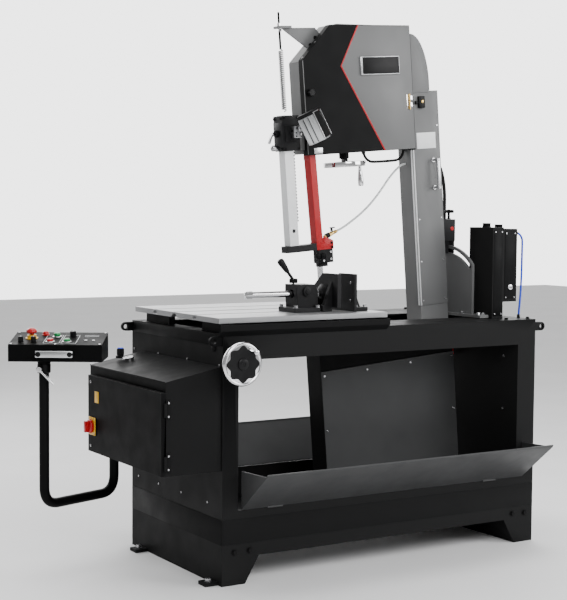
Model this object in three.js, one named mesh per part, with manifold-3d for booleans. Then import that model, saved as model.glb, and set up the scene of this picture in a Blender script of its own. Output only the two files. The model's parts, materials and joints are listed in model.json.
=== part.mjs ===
// Tilt-frame vertical band saw, in millimetres, Z up.
// While the pieces are made, the origin is the near front-left bottom corner of the base:
// +X runs along the front, +Y to the rear. The last lines move the whole machine so that
// its origin is the bottom centre of its box.
import * as THREE from 'three';
import { mergeVertices } from 'three/addons/utils/BufferGeometryUtils.js';
import Module from 'manifold-3d';

const wasm = await Module();
wasm.setup();

// ---- Driving dimensions ----
const GAP = 0.3;                                   // between pieces that rest on each other
const TABLE_HEIGHT = 890;
const BASE = { length: 1344, width: 688, seam: 134, pan: 224, rail: 749, top: 836, post: 60 };
const DECK = 842;                                  // top of the deck plates
const SAW_PLANE = 321;                             // y of the blade, table slot and tilt axis
const CANT = THREE.MathUtils.degToRad(4.7);        // lean of the saw frame in its own plane
const PIVOT_X = 611;                               // where the saw frame's own axes start
const WHEEL = { radius: 214, width: 30, s: 200.5, top: 792, bottom: -438 };
const BLADE = { radius: 216.5, width: 25, thickness: 1.2 };
const HOUSING = { front: 270, seam: 300, back: 365, wall: 5, plate: 6 };
const COLUMN = { left: 398, right: 526, bottom: -164.7, top: 771, doorFoot: -38 };
const LOWER = { left: -72, right: 538, bottom: -668, top: -165, coverTop: -229 };
const TUBE = { left: -150, right: -112, bottom: 236.3, top: 705, wall: 4 };

const FEED = { x: 30, z: 745, plane: -74 };         // front handwheel

// ---- Materials ----
function finish(color, roughness, metalness) {
  return new THREE.MeshStandardMaterial({ color, roughness, metalness });
}
const BLACK = finish(0x17181a, 0.45, 0.1);
const GREY = finish(0x77787b, 0.45, 0.2);
const RED = finish(0xc4161f, 0.4, 0.1);
const WHITE = finish(0xe6e7e9, 0.35, 0.2);
const STEEL = finish(0xa9abae, 0.3, 0.9);
const IRON = finish(0x9a9c9f, 0.4, 0.8);
const PLASTIC = finish(0x101113, 0.5, 0);
const GREEN = finish(0x1f9a4b, 0.4, 0);
const CLEAR = finish(0xdde2e4, 0.2, 0);
const BLUE = finish(0x2244b8, 0.4, 0);
const BRASS = finish(0xb98f3a, 0.35, 0.9);

// ---- Shapes ----
function box(x0, x1, y0, y1, z0, z1) {
  const geometry = new THREE.BoxGeometry(x1 - x0, y1 - y0, z1 - z0);
  return geometry.translate((x0 + x1) / 2, (y0 + y1) / 2, (z0 + z1) / 2);
}

// An outline pushed out between two places on one axis. Its points are (y, z) for axis x,
// (x, z) for axis y and (x, y) for axis z, anticlockwise as listed.
function prism(axis, from, to, points, holes = []) {
  const shape = new THREE.Shape(points.map(([a, b]) => new THREE.Vector2(a, b)));
  for (const hole of holes) {
    shape.holes.push(new THREE.Path(hole.map(([a, b]) => new THREE.Vector2(a, b))));
  }
  const geometry = new THREE.ExtrudeGeometry(shape, { depth: to - from, bevelEnabled: false });
  const [ex, ey, ez] = [[1, 0, 0], [0, 1, 0], [0, 0, 1]].map((v) => new THREE.Vector3(...v));
  const turn = new THREE.Matrix4();
  if (axis === 'x') turn.makeBasis(ey, ez, ex).setPosition(from, 0, 0);
  if (axis === 'y') turn.makeBasis(ex, ez, ey.clone().negate()).setPosition(0, to, 0);
  if (axis === 'z') turn.makeTranslation(0, 0, from);
  return geometry.applyMatrix4(turn);
}

// A round bar between two points.
function rod(from, to, radius, sides = 20, endRadius = radius) {
  const [a, b] = [new THREE.Vector3(...from), new THREE.Vector3(...to)];
  const along = b.clone().sub(a);
  const geometry = new THREE.CylinderGeometry(endRadius, radius, along.length(), sides);
  const up = new THREE.Vector3(0, 1, 0);
  geometry.applyQuaternion(new THREE.Quaternion().setFromUnitVectors(up, along.normalize()));
  return geometry.translate(...a.add(b).multiplyScalar(0.5).toArray());
}

function ball(centre, radius, segments = 14) {
  return new THREE.SphereGeometry(radius, segments, segments / 2).translate(...centre);
}

// A turned piece on the Y axis through centre; the profile lists (radius, y).
function turned(profile, centre, sides) {
  const points = profile.map(([r, y]) => new THREE.Vector2(r, y));
  return new THREE.LatheGeometry(points, sides).translate(...centre);
}

// A round section carried along a curve.
function pipe(curve, radius, sides, steps) {
  const ring = new THREE.Shape();
  for (let i = 0; i < sides; i += 1) {
    const angle = (i / sides) * 2 * Math.PI;
    const [a, b] = [radius * Math.cos(angle), radius * Math.sin(angle)];
    if (i === 0) ring.moveTo(a, b);
    else ring.lineTo(a, b);
  }
  ring.closePath();
  return new THREE.ExtrudeGeometry(ring, { extrudePath: curve, steps, bevelEnabled: false });
}

function through(points) {
  return new THREE.CatmullRomCurve3(points.map((p) => new THREE.Vector3(...p)), false, 'centripetal');
}

// Straight runs joined by bends of one radius.
function bentPath(points, radius) {
  const stops = points.map((p) => new THREE.Vector3(...p));
  const path = new THREE.CurvePath();
  let start = stops[0];
  for (let i = 1; i < stops.length - 1; i += 1) {
    const back = stops[i - 1].clone().sub(stops[i]).setLength(radius).add(stops[i]);
    const ahead = stops[i + 1].clone().sub(stops[i]).setLength(radius).add(stops[i]);
    path.add(new THREE.LineCurve3(start, back));
    path.add(new THREE.QuadraticBezierCurve3(back, stops[i], ahead));
    start = ahead;
  }
  path.add(new THREE.LineCurve3(start, stops[stops.length - 1]));
  return path;
}

// Arc points about a centre, from one angle to another in degrees.
function arc(cx, cy, radius, fromDeg, toDeg, steps) {
  return Array.from({ length: steps + 1 }, (_, i) => {
    const angle = THREE.MathUtils.degToRad(fromDeg + ((toDeg - fromDeg) * i) / steps);
    return [cx + radius * Math.cos(angle), cy + radius * Math.sin(angle)];
  });
}

function circle(cx, cy, radius, steps) {
  return arc(cx, cy, radius, 0, 360 - 360 / steps, steps - 1);
}

// The same outline moved inward by one wall; points run anticlockwise.
function inset(points, wall) {
  return points.map(([x, y], i) => {
    const [px, py] = points[(i + points.length - 1) % points.length];
    const [nx, ny] = points[(i + 1) % points.length];
    const before = Math.hypot(x - px, y - py);
    const after = Math.hypot(nx - x, ny - y);
    const [ax, ay] = [(py - y) / before, (x - px) / before];
    const [bx, by] = [(y - ny) / after, (nx - x) / after];
    const reach = wall / (1 + ax * bx + ay * by);
    return [x + (ax + bx) * reach, y + (ay + by) * reach];
  });
}

// ---- Booleans ----
function solid(geometry) {
  const bare = new THREE.BufferGeometry();
  bare.setAttribute('position', geometry.getAttribute('position').clone());
  if (geometry.index) bare.setIndex(geometry.index.clone());
  const merged = mergeVertices(bare, 1e-3);
  const mesh = new wasm.Mesh({
    numProp: 3,
    vertProperties: new Float32Array(merged.getAttribute('position').array),
    triVerts: new Uint32Array(merged.index.array),
  });
  return new wasm.Manifold(mesh);
}

function geometryOf(manifold) {
  const mesh = manifold.getMesh();
  const geometry = new THREE.BufferGeometry();
  geometry.setAttribute('position', new THREE.BufferAttribute(mesh.vertProperties, 3));
  geometry.setIndex(new THREE.BufferAttribute(mesh.triVerts, 1));
  geometry.computeVertexNormals();
  return geometry;
}

function join(...pieces) {
  return geometryOf(pieces.map(solid).reduce((whole, piece) => whole.add(piece)));
}

function cut(piece, ...tools) {
  return geometryOf(tools.map(solid).reduce((whole, tool) => whole.subtract(tool), solid(piece)));
}

// ---- The tree ----
const machine = new THREE.Group();
const saw = new THREE.Group();                     // x is s, z is t: the leaning frame's axes
saw.position.set(PIVOT_X, 0, TABLE_HEIGHT);
saw.rotation.y = -CANT;
machine.add(saw);

function place(name, geometry, material, parent = machine) {
  const mesh = new THREE.Mesh(geometry, material);
  mesh.name = name;
  parent.add(mesh);
  return mesh;
}

// ---- Base ----
function baseFrame() {
  const { length, width, seam, pan, rail, top, post } = BASE;
  const foot = [[0, 0], [88, 0], [141, 91], [1205, 91], [1256, 0], [length, 0], [length, seam], [0, seam]];
  const wall = 8;
  const parts = [
    prism('y', 0, width, foot),
    box(0, length, 0, width, seam, pan + 26),
    box(0, 6, 0, width, pan, top),
    box(length - 84, length - 78, 0, width, pan, top),
    box(0, post, 0, post, pan, top),
    box(0, post, width - post, width, pan, top),
    box(length - 84, length, 0, post, pan, top),
    box(length - 84, length, width - post, width, pan, top),
    box(0, post, 0, width, 775, top),
    box(0, length, 0, post, rail, top),
    box(0, length, width - post, width, rail, top),
    box(post - 1, length - 83, 90, 128, 784, 790),
    box(post - 1, length - 83, 514, 552, 784, 790),
    box(650, length, 0, 186, top - 1, DECK),
    box(650, length, 450, width, top - 1, DECK),
    box(length - 130, length, 0, width, top - 1, DECK),
  ];
  for (const y of [95, 519]) parts.push(box(post - 1, length - 83, y, y + 28, 789, 806));
  for (const y of [25, 555]) parts.push(box(-48, 1, y, y + 50, 0, 12));
  parts.push(rod([FEED.x, 1, FEED.z], [FEED.x, -34, FEED.z], 20, 20), dripGutter());
  for (const x of [30, 409, 590]) {
    for (const [y0, y1] of [[8, 200], [445, 630]]) {
      parts.push(box(x, x + 22, y0, y1, top - 1, TABLE_HEIGHT - 18.8));
      if (y0 === 8) parts.push(box(x, x + 22, y0, 59, 800, top));
    }
  }
  const pit = box(post, length - 84, wall, width - wall, 141, pan + 30);
  return cut(join(...parts, ...liftingEyes()), pit);
}

function liftingEyes() {
  const eyes = [];
  for (const [x, side] of [[0, -1], [BASE.length, 1]]) {
    for (const y of [2, BASE.width - 14]) {
      const centre = x + side * 32;
      const plate = [
        ...arc(centre, 814, 16, side > 0 ? -90 : 90, side > 0 ? 90 : 270, 8),
        [x - side * 2, 814 + side * 16],
        [x - side * 2, 814 - side * 16],
      ];
      eyes.push(prism('y', y, y + 12, plate, [circle(centre, 814, 9, 12)]));
    }
  }
  return eyes;
}

// The tables' rear and front edges at the slot are cut back underneath for the tilted blade.
function tableHalf(side) {
  const under = TABLE_HEIGHT - 18.5;
  const lip = TABLE_HEIGHT - 7;
  const reach = side < 0 ? SAW_PLANE : 310;
  const at = (distance) => SAW_PLANE + side * distance;
  const points = [
    [at(reach), under], [at(23), under], [at(10), lip], [at(10), TABLE_HEIGHT], [at(reach), TABLE_HEIGHT],
  ];
  if (side > 0) points.reverse();
  const plate = prism('x', -15, 658, points);
  const slotAt = side < 0 ? 173 : 469;
  const slot = [
    box(-20, 670, slotAt - 8, slotAt + 8, TABLE_HEIGHT - 10, TABLE_HEIGHT + 1),
    box(-20, 670, slotAt - 14, slotAt + 14, TABLE_HEIGHT - 14, TABLE_HEIGHT - 7),
  ];
  return cut(plate, ...slot);
}

function dripGutter() {
  const section = [[-22, 868], [-22, 848], [-2, 830], [1, 830], [1, 835], [-18, 850], [-18, 868]];
  return prism('x', -18, 655, section);
}

function chipTray(side) {
  const [hinge, floor] = [side < 0 ? -0.5 : BASE.width + 0.5, 250];
  const at = (d) => hinge + side * d;
  const sheet = [
    [at(0), floor], [at(166), 385], [at(170), 394], [at(166.5), 394], [at(163), 388], [at(0), floor + 4],
  ];
  const cheek = [[at(0), floor], [at(166), 386], [at(0), 380]];
  if (side > 0) {
    sheet.reverse();
    cheek.reverse();
  }
  sheet.reverse();
  cheek.reverse();
  const parts = [prism('x', 72, 1290, sheet), prism('x', 72, 75, cheek), prism('x', 1287, 1290, cheek)];
  for (const x of [199, 1126]) {
    parts.push(rod([x - 30, at(4.5), floor + 1.5], [x + 30, at(4.5), floor + 1.5], 4, 10));
  }
  return join(...parts);
}

place('base_frame', baseFrame(), BLACK);
place('table_front', tableHalf(-1), IRON);
place('table_rear', tableHalf(1), IRON);
place('front_chip_tray', chipTray(-1), GREY);
place('rear_chip_tray', chipTray(1), GREY);

// ---- Electrical cabinet on the left end ----
const CABINET = { front: -205, near: 8, far: 602, bottom: 385, eave: 690, ridge: 730 };

function cabinetShell() {
  const { front, near, far, bottom, eave, ridge } = CABINET;
  const section = [[front, bottom], [-GAP, bottom], [-GAP, ridge], [front, eave]];
  const shell = prism('y', near, far, section);
  const hollow = prism('y', near + 4, far - 4, inset(section, 4));
  const doorway = box(front - 5, front + 10, near + 22, 555, bottom + 25, 640);
  return cut(shell, hollow, doorway);
}

function cabinetDoor() {
  const pan = box(-226, -208, -5, 573, 388, 658);
  const inside = box(-223, -207, -2, 570, 391, 655);
  const hinges = [430, 602].map((z) => rod([-213, -8, z - 22], [-213, -8, z + 22], 4.5, 12));
  return join(cut(pan, inside), ...hinges, box(-229, -224, 505, 563, 449, 512));
}

place('electrical_cabinet', cabinetShell(), BLACK);
place('cabinet_door', cabinetDoor(), BLACK);
place('main_switch_knob', join(
  rod([-229 - GAP, 534, 480], [-243, 534, 480], 25, 24),
  box(-258, -242, 528, 540, 459, 501),
), RED);
place('pressure_regulator', join(
  rod([-114, 545, 714], [-114, 545, 724], 17, 16),
  rod([-114, 545, 723], [-114, 545, 752], 13, 16),
), PLASTIC);

// ---- Control console on its swinging arm ----
const CONSOLE = { x: -440, y: 450, floor: 735, left: -105, right: 206, depth: 85, height: 57, rise: 27 };
const ARM = { x: -136, y: 551, low: 237, top: 385, radius: 17 };

const arm = bentPath([
  [CONSOLE.x, CONSOLE.y, CONSOLE.floor - 14],
  [CONSOLE.x, CONSOLE.y, ARM.low],
  [ARM.x, ARM.y, ARM.low],
  [ARM.x, ARM.y, ARM.top - 12],
], 62);
place('console_arm', join(
  pipe(arm, ARM.radius, 12, 40),
  rod([ARM.x, ARM.y, ARM.top - 14], [ARM.x, ARM.y, ARM.top - GAP], 26, 20),
), BLACK);

const desk = new THREE.Group();                    // x along the panel, y into its depth
desk.position.set(CONSOLE.x, CONSOLE.y, CONSOLE.floor);
desk.rotation.z = THREE.MathUtils.degToRad(-31.5);
machine.add(desk);
const { left: deskLeft, right: deskRight, depth: deskDepth, height: deskHeight } = CONSOLE;
place('console_box', join(
  prism('x', deskLeft, deskRight, [
    [-deskDepth, 0], [deskDepth, 0], [deskDepth, deskHeight + CONSOLE.rise], [-deskDepth, deskHeight],
  ]),
  rod([0, 0, -13.5], [0, 0, 1], 22, 20),
  rod([-10, -deskDepth - 28, 28], [114, -deskDepth - 28, 28], 6, 12),
  rod([-5, -deskDepth - 28, 28], [-5, -deskDepth + 1, 28], 5, 10),
  rod([109, -deskDepth - 28, 28], [109, -deskDepth + 1, 28], 5, 10),
), BLACK, desk);

const keys = new THREE.Group();                    // stands on the sloping top
keys.position.set(deskLeft, -deskDepth, deskHeight);
keys.rotation.x = Math.atan2(CONSOLE.rise, 2 * deskDepth);
desk.add(keys);
const KEYS = [
  ['estop_button', 64, 88, 18, 14, 36, RED],
  ['start_button', 146, 110, 11, 3.5, 14, GREEN],
  ['selector_switch', 200, 110, 12, 1, 20, PLASTIC],
  ['stop_button', 133, 42, 11, 3.5, 11, RED],
  ['feed_button', 189, 42, 11, 3.5, 11, GREEN],
  ['speed_knob', 36, 34, 10, 1, 20, PLASTIC],
  ['pressure_knob', 79, 34, 10, 1, 20, PLASTIC],
];
for (const [name, x, y, radius, z0, z1, material] of KEYS) {
  place(name, rod([x, y, z0], [x, y, z1], radius, 18), material, keys);
}

// ---- Front handwheel ----
place('feed_handwheel', turned([
  [0, -6], [24, -6], [60, -9], [69, -9], [72.5, -4], [72.5, 4], [69, 9], [60, 9],
  [60, -4], [24, 0], [24, 39.5], [0, 39.5],
], [FEED.x, FEED.plane, FEED.z], 32), BLACK);
place('feed_grip', rod(
  [FEED.x + 30, FEED.plane - 9 - GAP, FEED.z + 40],
  [FEED.x + 30, FEED.plane - 48, FEED.z + 40], 9, 14, 12,
), PLASTIC);

// ---- Quick-clamping vise on the front table half ----
const VISE = { y: 146, screw: 953, foot: TABLE_HEIGHT + GAP };

place('vise_body', cut(
  join(
    box(335, 440, 95, 205, VISE.foot, 906),
    prism('y', 110, 190, [[356, 905], [440, 905], [439, 960], [430, 986], [352, 986], [352, 960]]),
    rod([362, 150, 985], [362, 150, 990], 4, 8),
  ),
  rod([340, VISE.y, VISE.screw], [480, VISE.y, VISE.screw], 15, 20),
), PLASTIC);
place('vise_bar', join(
  rod([180, VISE.y, VISE.screw], [487, VISE.y, VISE.screw], 11, 20),
  ball([180, VISE.y, VISE.screw], 14),
), STEEL);
place('moving_jaw', join(
  prism('x', 488, 504, [[62, 905], [230, 905], [230, 966], [158, 1023], [62, 1023]]),
  prism('y', 96, 112, [[452, 905], [489, 905], [489, 1000]]),
  prism('y', 180, 196, [[452, 905], [489, 905], [489, 980]]),
  box(450, 489, 96, 196, VISE.foot + 1, 912),
), PLASTIC);
place('fixed_jaw', join(
  prism('x', 557, 569, [[58, VISE.foot], [230, VISE.foot], [230, 966], [158, 1022], [58, 1022]]),
  prism('y', 96, 112, [[568, 900], [610, 900], [568, 1000]]),
  prism('y', 180, 196, [[568, 900], [610, 900], [568, 980]]),
  box(568, 628, 76, 214, VISE.foot, 904),
), PLASTIC);
place('vise_lever', join(
  rod([362, 150, 990 + GAP], [362, 150, 1006], 15, 16),
  rod([362, 150, 1000], [322, 150, 1050], 6, 12),
  ball([320, 150, 1053], 17),
), PLASTIC);

// ---- Hydraulic cabinet on the deck ----
place('hydraulic_unit', join(
  box(1198, 1250, 80, 218, DECK + GAP, 1185),
  box(1249, 1316, 80, 190, 905, 1180),
  rod([1224, 150, 1184], [1224, 150, 1201], 15, 16),
  rod([1283, 150, 1179], [1283, 150, 1196], 15, 16),
), BLACK);
place('air_line', pipe(through([
  [1317, 90, 1165], [1329, 90, 1162.4], [1340, 90, 1155], [1347.4, 90, 1144], [1350, 90, 1131],
  [1350, 90, 1090], [1348, 89, 1000], [1343, 88, 920], [1338, 88, 870], [1336, 88, DECK + 1],
]), 4, 8, 32), BLUE);

// ---- Carriage and tilt quadrant ----
const QUADRANT = { x: 1165, thick: 10, outer: 224, slotIn: 196, slotOut: 212, edge: 163 };

place('carriage', join(
  box(860, 1205, 97, 121, 811, 832),
  box(860, 1205, 521, 545, 811, 832),
  ...[860, 1140].flatMap((x) => [
    box(x, x + 60, 93, 125, 806 + GAP, 812),
    box(x, x + 60, 517, 549, 806 + GAP, 812),
  ]),
  box(1168, 1205, 97, 545, 811, 832),
  box(1168, 1196, 195, 441, 831, 845 - GAP),
), BLACK);

function quadrant() {
  const { x, thick, outer, slotIn, slotOut, edge } = QUADRANT;
  const side = THREE.MathUtils.radToDeg(Math.asin(edge / outer));
  const plate = [
    [SAW_PLANE - edge, 845], [SAW_PLANE + edge, 845],
    ...arc(SAW_PLANE, TABLE_HEIGHT, outer, 90 - side, 90 + side, 24),
  ];
  const slot = [
    ...arc(SAW_PLANE, TABLE_HEIGHT, slotOut, 43, 137, 24),
    ...arc(SAW_PLANE, TABLE_HEIGHT, slotIn, 137, 43, 24),
  ];
  return join(
    prism('x', x, x + thick, plate, [slot]),
    box(x - 14, x + 27, 92, 550, 845, 856),
    prism('y', 236, 246, [[x + 9, 855], [x + 26, 855], [x + 9, 960]]),
    prism('y', 396, 406, [[x + 9, 855], [x + 26, 855], [x + 9, 960]]),
  );
}
place('tilt_quadrant', quadrant(), GREY);

// The right face of the leaning column at a height.
function columnRightAt(z) {
  const t = (z - TABLE_HEIGHT - COLUMN.right * Math.sin(CANT)) / Math.cos(CANT);
  return PIVOT_X + COLUMN.right * Math.cos(CANT) - t * Math.sin(CANT);
}

const pinHeight = TABLE_HEIGHT + (QUADRANT.slotIn + QUADRANT.slotOut) / 2;
place('tilt_lock_block', join(
  prism('y', SAW_PLANE - 24, SAW_PLANE + 24, [
    [columnRightAt(1130) + 1, 1130], [1190, 1130], [1190, 1214], [columnRightAt(1214) + 1, 1214],
  ]),
  box(1148, 1162, SAW_PLANE - 20, SAW_PLANE + 20, 1082, 1131),
  box(1178, 1190, SAW_PLANE - 20, SAW_PLANE + 20, 1082, 1131),
  rod([1161, SAW_PLANE, pinHeight], [1179, SAW_PLANE, pinHeight], 6, 16),
), PLASTIC);
place('tilt_lock_knob', join(
  rod([1176, SAW_PLANE, 1214 + GAP], [1176, SAW_PLANE, 1240], 5, 12),
  rod([1176, SAW_PLANE - 24, 1244], [1176, SAW_PLANE + 24, 1244], 6, 12),
), PLASTIC);

// ---- Saw frame: head ----
const HEAD = [
  [-69.5, 562], [397.5, 562], [397.5, 771.5], [480.8, 771.5], [478.7, 896], [453.5, 922.6],
  [410, 990], [410, 1015], [104, 1026], [68, 1020], [38, 994], [-69.5, 892],
];
const HEAD_DOOR = [[-69.5, 557], [410, 557], [410, 1015], [55, 1020], [-69.5, 897]];

function headHousing() {
  const { seam, back, wall, plate } = HOUSING;
  const shell = cut(
    prism('y', seam, back, HEAD),
    prism('y', seam - 1, back - plate, inset(HEAD, wall)),
    box(391, 475, seam - 1, back - plate, 575, 778),
    box(-64, 45, seam - 1, 350, 555, 570),
    rod([137, 349.5, 555], [137, 349.5, 570], 8, 16),
  );
  return join(
    shell,
    box(-88, -70, 290, 352, 577, 703),
    box(-71, -68, 301, 352, 577, 703),
    prism('y', 316, 326, [[-120, 1014], [-15, 941], [38, 993], [20, 1014]]),
    cut(box(-140, -88, 301, 341, 1012, 1020), rod([-128, 321, 1011], [-128, 321, 1021], 4.5, 12)),
  );
}

function headDoor() {
  const { front, seam, wall } = HOUSING;
  return cut(
    prism('y', front, seam - GAP, HEAD_DOOR),
    prism('y', front + 3, seam, inset(HEAD_DOOR, wall - 1)),
  );
}

place('head_housing', headHousing(), GREY, saw);
place('head_door', headDoor(), BLACK, saw);

// A band wheel: rim, thin web with lightening holes, and a bored hub.
function bandWheel(t) {
  const { radius, width, s } = WHEEL;
  const half = width / 2;
  const rim = turned([
    [radius - 20, -half], [radius, -half], [radius, half], [radius - 20, half], [radius - 20, 5], [50, 5],
    [50, half + 4], [16, half + 4], [16, -half + 2], [50, -half + 2], [50, -5], [radius - 20, -5],
    [radius - 20, -half],
  ], [0, 0, 0], 32);
  const holes = [0, 1, 2, 3, 4].map((i) => {
    const angle = (i / 5) * 2 * Math.PI;
    const [x, z] = [122 * Math.cos(angle), 122 * Math.sin(angle)];
    return rod([x, -10, z], [x, 10, z], 42, 14);
  });
  return cut(rim, ...holes).translate(s, SAW_PLANE, t);
}

place('upper_wheel', bandWheel(WHEEL.top), IRON, saw);
place('lower_wheel', bandWheel(WHEEL.bottom), IRON, saw);

place('tension_slide', cut(
  join(
    box(118, 250, 341, 358, 742, 842),
    rod([WHEEL.s, 300, WHEEL.top], [WHEEL.s, 342, WHEEL.top], 15, 20),
  ),
  rod([137, 349.5, 741], [137, 349.5, 843], 6.5, 12),
), STEEL, saw);

function tensionHandwheel() {
  const rim = prism('z', 506, 526, circle(137, 349.5, 80, 32), [circle(137, 349.5, 68, 32)]);
  const spokes = [0, 120, 240].map((deg) => {
    const angle = THREE.MathUtils.degToRad(deg);
    return rod([137, 349.5, 522], [137 + 74 * Math.cos(angle), 349.5 + 74 * Math.sin(angle), 516], 6, 10);
  });
  return join(
    rim, ...spokes,
    rod([137, 349.5, 506], [137, 349.5, 556], 15, 20),
    rod([137, 349.5, 555], [137, 349.5, 800], 5, 12),
  );
}
place('tension_handwheel', tensionHandwheel(), STEEL, saw);
place('tension_crank', turned([
  [0, -82], [9, -82], [11, -60], [9, -30], [6, -14], [6, -7.5], [0, -7.5],
], [0, 0, 0], 16).rotateX(Math.PI / 2).translate(206, 349.5, 513), STEEL, saw);

// ---- Saw frame: column ----
function columnShell() {
  const { left, right, bottom, top, doorFoot } = COLUMN;
  const { back, plate } = HOUSING;
  const front = 273 + GAP;
  return cut(
    box(left, right, front, back, bottom, top),
    box(left + 6, right - 6, front + 6, back - plate, bottom - 1, top + 1),
    box(left + 6, right - 6, front - 1, front + 7, doorFoot, top + 1),
    box(left - 1, left + 7, front - 1, back - plate, 561, top + 1),
    box(left - 1, left + 14, front - 1, 302, 553, top + 1),
    box(left - 1, left + 0.5, HOUSING.seam - 2, back + 1, 560, top + 1),
  );
}

function columnCover() {
  const { left, right, top, doorFoot } = COLUMN;
  const outline = [
    [left + GAP, doorFoot + GAP], [right, doorFoot + GAP], [right, top], [483, top],
    [483, 764], [411, 764], [411, 553], [left + GAP, 553],
  ];
  return prism('y', 270, 273, outline);
}

place('column', columnShell(), GREY, saw);
place('column_cover', join(
  columnCover(),
  rod([489, 240, 400], [489, 240, 516], 6, 12),
  rod([489, 240, 405], [489, 271, 405], 5, 10),
  rod([489, 240, 511], [489, 271, 511], 5, 10),
), GREY, saw);

// ---- Saw frame: lower housing and drive ----
function lowerHousing() {
  const { left, right, bottom, top, coverTop } = LOWER;
  const { front, back, wall, plate } = HOUSING;
  return cut(
    box(left, right, front + GAP, back, bottom, top),
    box(left + wall, right - wall, front + 6, back - plate, bottom + wall, top - wall),
    box(left + 20, right - 20, front - 1, front + 7, bottom + 20, coverTop - 20),
    box(-40, 8, 300, 342, top - 6, top + 1),
    box(410, 470, front + 12, back - plate - 4, top - 6, top + 1),
    rod([WHEEL.s, back - plate - 1, WHEEL.bottom], [WHEEL.s, back + 1, WHEEL.bottom], 17, 20),
  );
}

place('lower_housing', lowerHousing(), BLACK, saw);
place('lower_cover', join(
  box(LOWER.left, LOWER.right, 267, 270, LOWER.bottom, LOWER.coverTop),
  box(LOWER.left, LOWER.right, 262, 268, LOWER.coverTop - 4, LOWER.coverTop),
), GREY, saw);
place('gearmotor', join(
  box(120, 281, 366, 440, WHEEL.bottom - 90, WHEEL.bottom + 80),
  rod([270, 430, WHEEL.bottom + 20], [480, 430, WHEEL.bottom + 20], 62, 24),
  rod([WHEEL.s, 300, WHEEL.bottom], [WHEEL.s, 370, WHEEL.bottom], 15, 20),
), BLACK, saw);
place('drive_bracket', join(
  box(500, 618, 366, 372, -262, -184),
  box(590, 618, 371, 400, -262, -184),
), RED, saw);

// The blade loop: its flat band stands square to the wheels and is turned a quarter
// between them, so that at the table its width lies along the cut.
function bladeLoop() {
  const { radius, width, thickness } = BLADE;
  const stations = [];
  const step = 11.25;
  for (let deg = 0; deg <= 180; deg += step) stations.push({ deg, t: WHEEL.top });
  const turnAt = [[700, 0], [646, 0.16], [585, 0.5], [524, 0.84], [470, 1], [-60, 1], [-120, 0.84], [-180, 0.5],
    [-240, 0.16], [-300, 0]];
  for (const [t, share] of turnAt) stations.push({ deg: 180, t, share, run: true });
  for (let deg = 180; deg <= 360; deg += step) stations.push({ deg, t: WHEEL.bottom });
  const vertices = [];
  for (const { deg, t, share = 0, run = false } of stations) {
    const angle = THREE.MathUtils.degToRad(deg);
    const [cs, ct] = [Math.cos(angle), run ? 0 : Math.sin(angle)];
    const turn = (share * Math.PI) / 2;
    const centre = [WHEEL.s + radius * cs, SAW_PLANE, t + radius * ct];
    const wide = [Math.sin(turn), Math.cos(turn), 0];
    const out = run ? [-Math.cos(turn), Math.sin(turn), 0] : [cs, 0, ct];
    for (const [a, b] of [[-1, -1], [1, -1], [1, 1], [-1, 1]]) {
      vertices.push(...centre.map((c, k) => c + (a * wide[k] * width + b * out[k] * thickness) / 2));
    }
  }
  const index = [];
  const count = stations.length;
  for (let i = 0; i < count; i += 1) {
    const next = (i + 1) % count;
    for (let k = 0; k < 4; k += 1) {
      const [a, b] = [i * 4 + k, i * 4 + ((k + 1) % 4)];
      const [c, d] = [next * 4 + k, next * 4 + ((k + 1) % 4)];
      index.push(a, d, b, a, c, d);
    }
  }
  const geometry = new THREE.BufferGeometry();
  geometry.setAttribute('position', new THREE.Float32BufferAttribute(vertices, 3));
  geometry.setIndex(index);
  geometry.computeVertexNormals();
  return geometry;
}
place('saw_blade', bladeLoop(), STEEL, saw);

// ---- Saw frame: blade guides ----
place('guide_clamp', cut(
  join(
    box(-158, -88 - GAP, 290, 352, 577, 703),
    box(-150, -100, 284, 291, 610, 668),
    rod([-120, 286, 648], [-120, 268, 648], 9, 14),
  ),
  box(-152, -99, 299, 343, 570, 710),
), PLASTIC, saw);
place('guide_tube', cut(
  join(box(TUBE.left, TUBE.right, 301, 341, TUBE.bottom, TUBE.top), guideRack()),
  box(TUBE.left + TUBE.wall, TUBE.right - TUBE.wall, 305, 337, TUBE.bottom + 12, TUBE.top + 1),
  rod([TUBE.left + 20, 300, 290], [TUBE.left + 20, 306, 290], 7, 12),
), WHITE, saw);

function guideRack() {
  const { right } = TUBE;
  const [start, end, pitch] = [323, 699, 11.75];
  const teeth = [[right - 1, end], [right - 1, start]];
  for (let t = start; t < end - 1; t += pitch) {
    teeth.push([right + 10, t], [right + 10, t + 4], [right + 6, t + 6], [right + 6, t + 10]);
  }
  teeth.push([right + 10, end]);
  return prism('y', 311, 331, teeth);
}

place('guide_arm', box(-163, -38, 298, 344, 212, 236), PLASTIC, saw);
place('blade_guard', join(
  cut(
    prism('y', 301, 341, [[-36, 237], [-9, 237], [-19, 590], [-46, 590]]),
    prism('y', 304, 338, [[-33, 236], [0, 236], [0, 591], [-43, 591]]),
  ),
  box(-46, -33.5, 301, 341, 541, 590),
), RED, saw);
place('blade_guide', cut(
  join(
    box(-37.7, 34, 300, 342, 213, 236.7),
    box(-30, 33, 303, 339, 163, 214),
    box(-26, 12, 309, 333, 150, 164),
  ),
  box(-32, 0, 319, 323, 149, 240),
), RED, saw);
place('coolant_valve', join(
  rod([14, 321, 237], [14, 321, 262], 7, 12),
  rod([10, 321, 256], [66, 321, 274], 6, 12),
), BRASS, saw);
place('lower_guide', cut(
  box(-34, 30, 303, 339, -164.7, -62),
  box(-32, 0, 317, 325, -166, -60),
  box(-32, 0, 308, 334, -166, -115),
), RED, saw);
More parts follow.
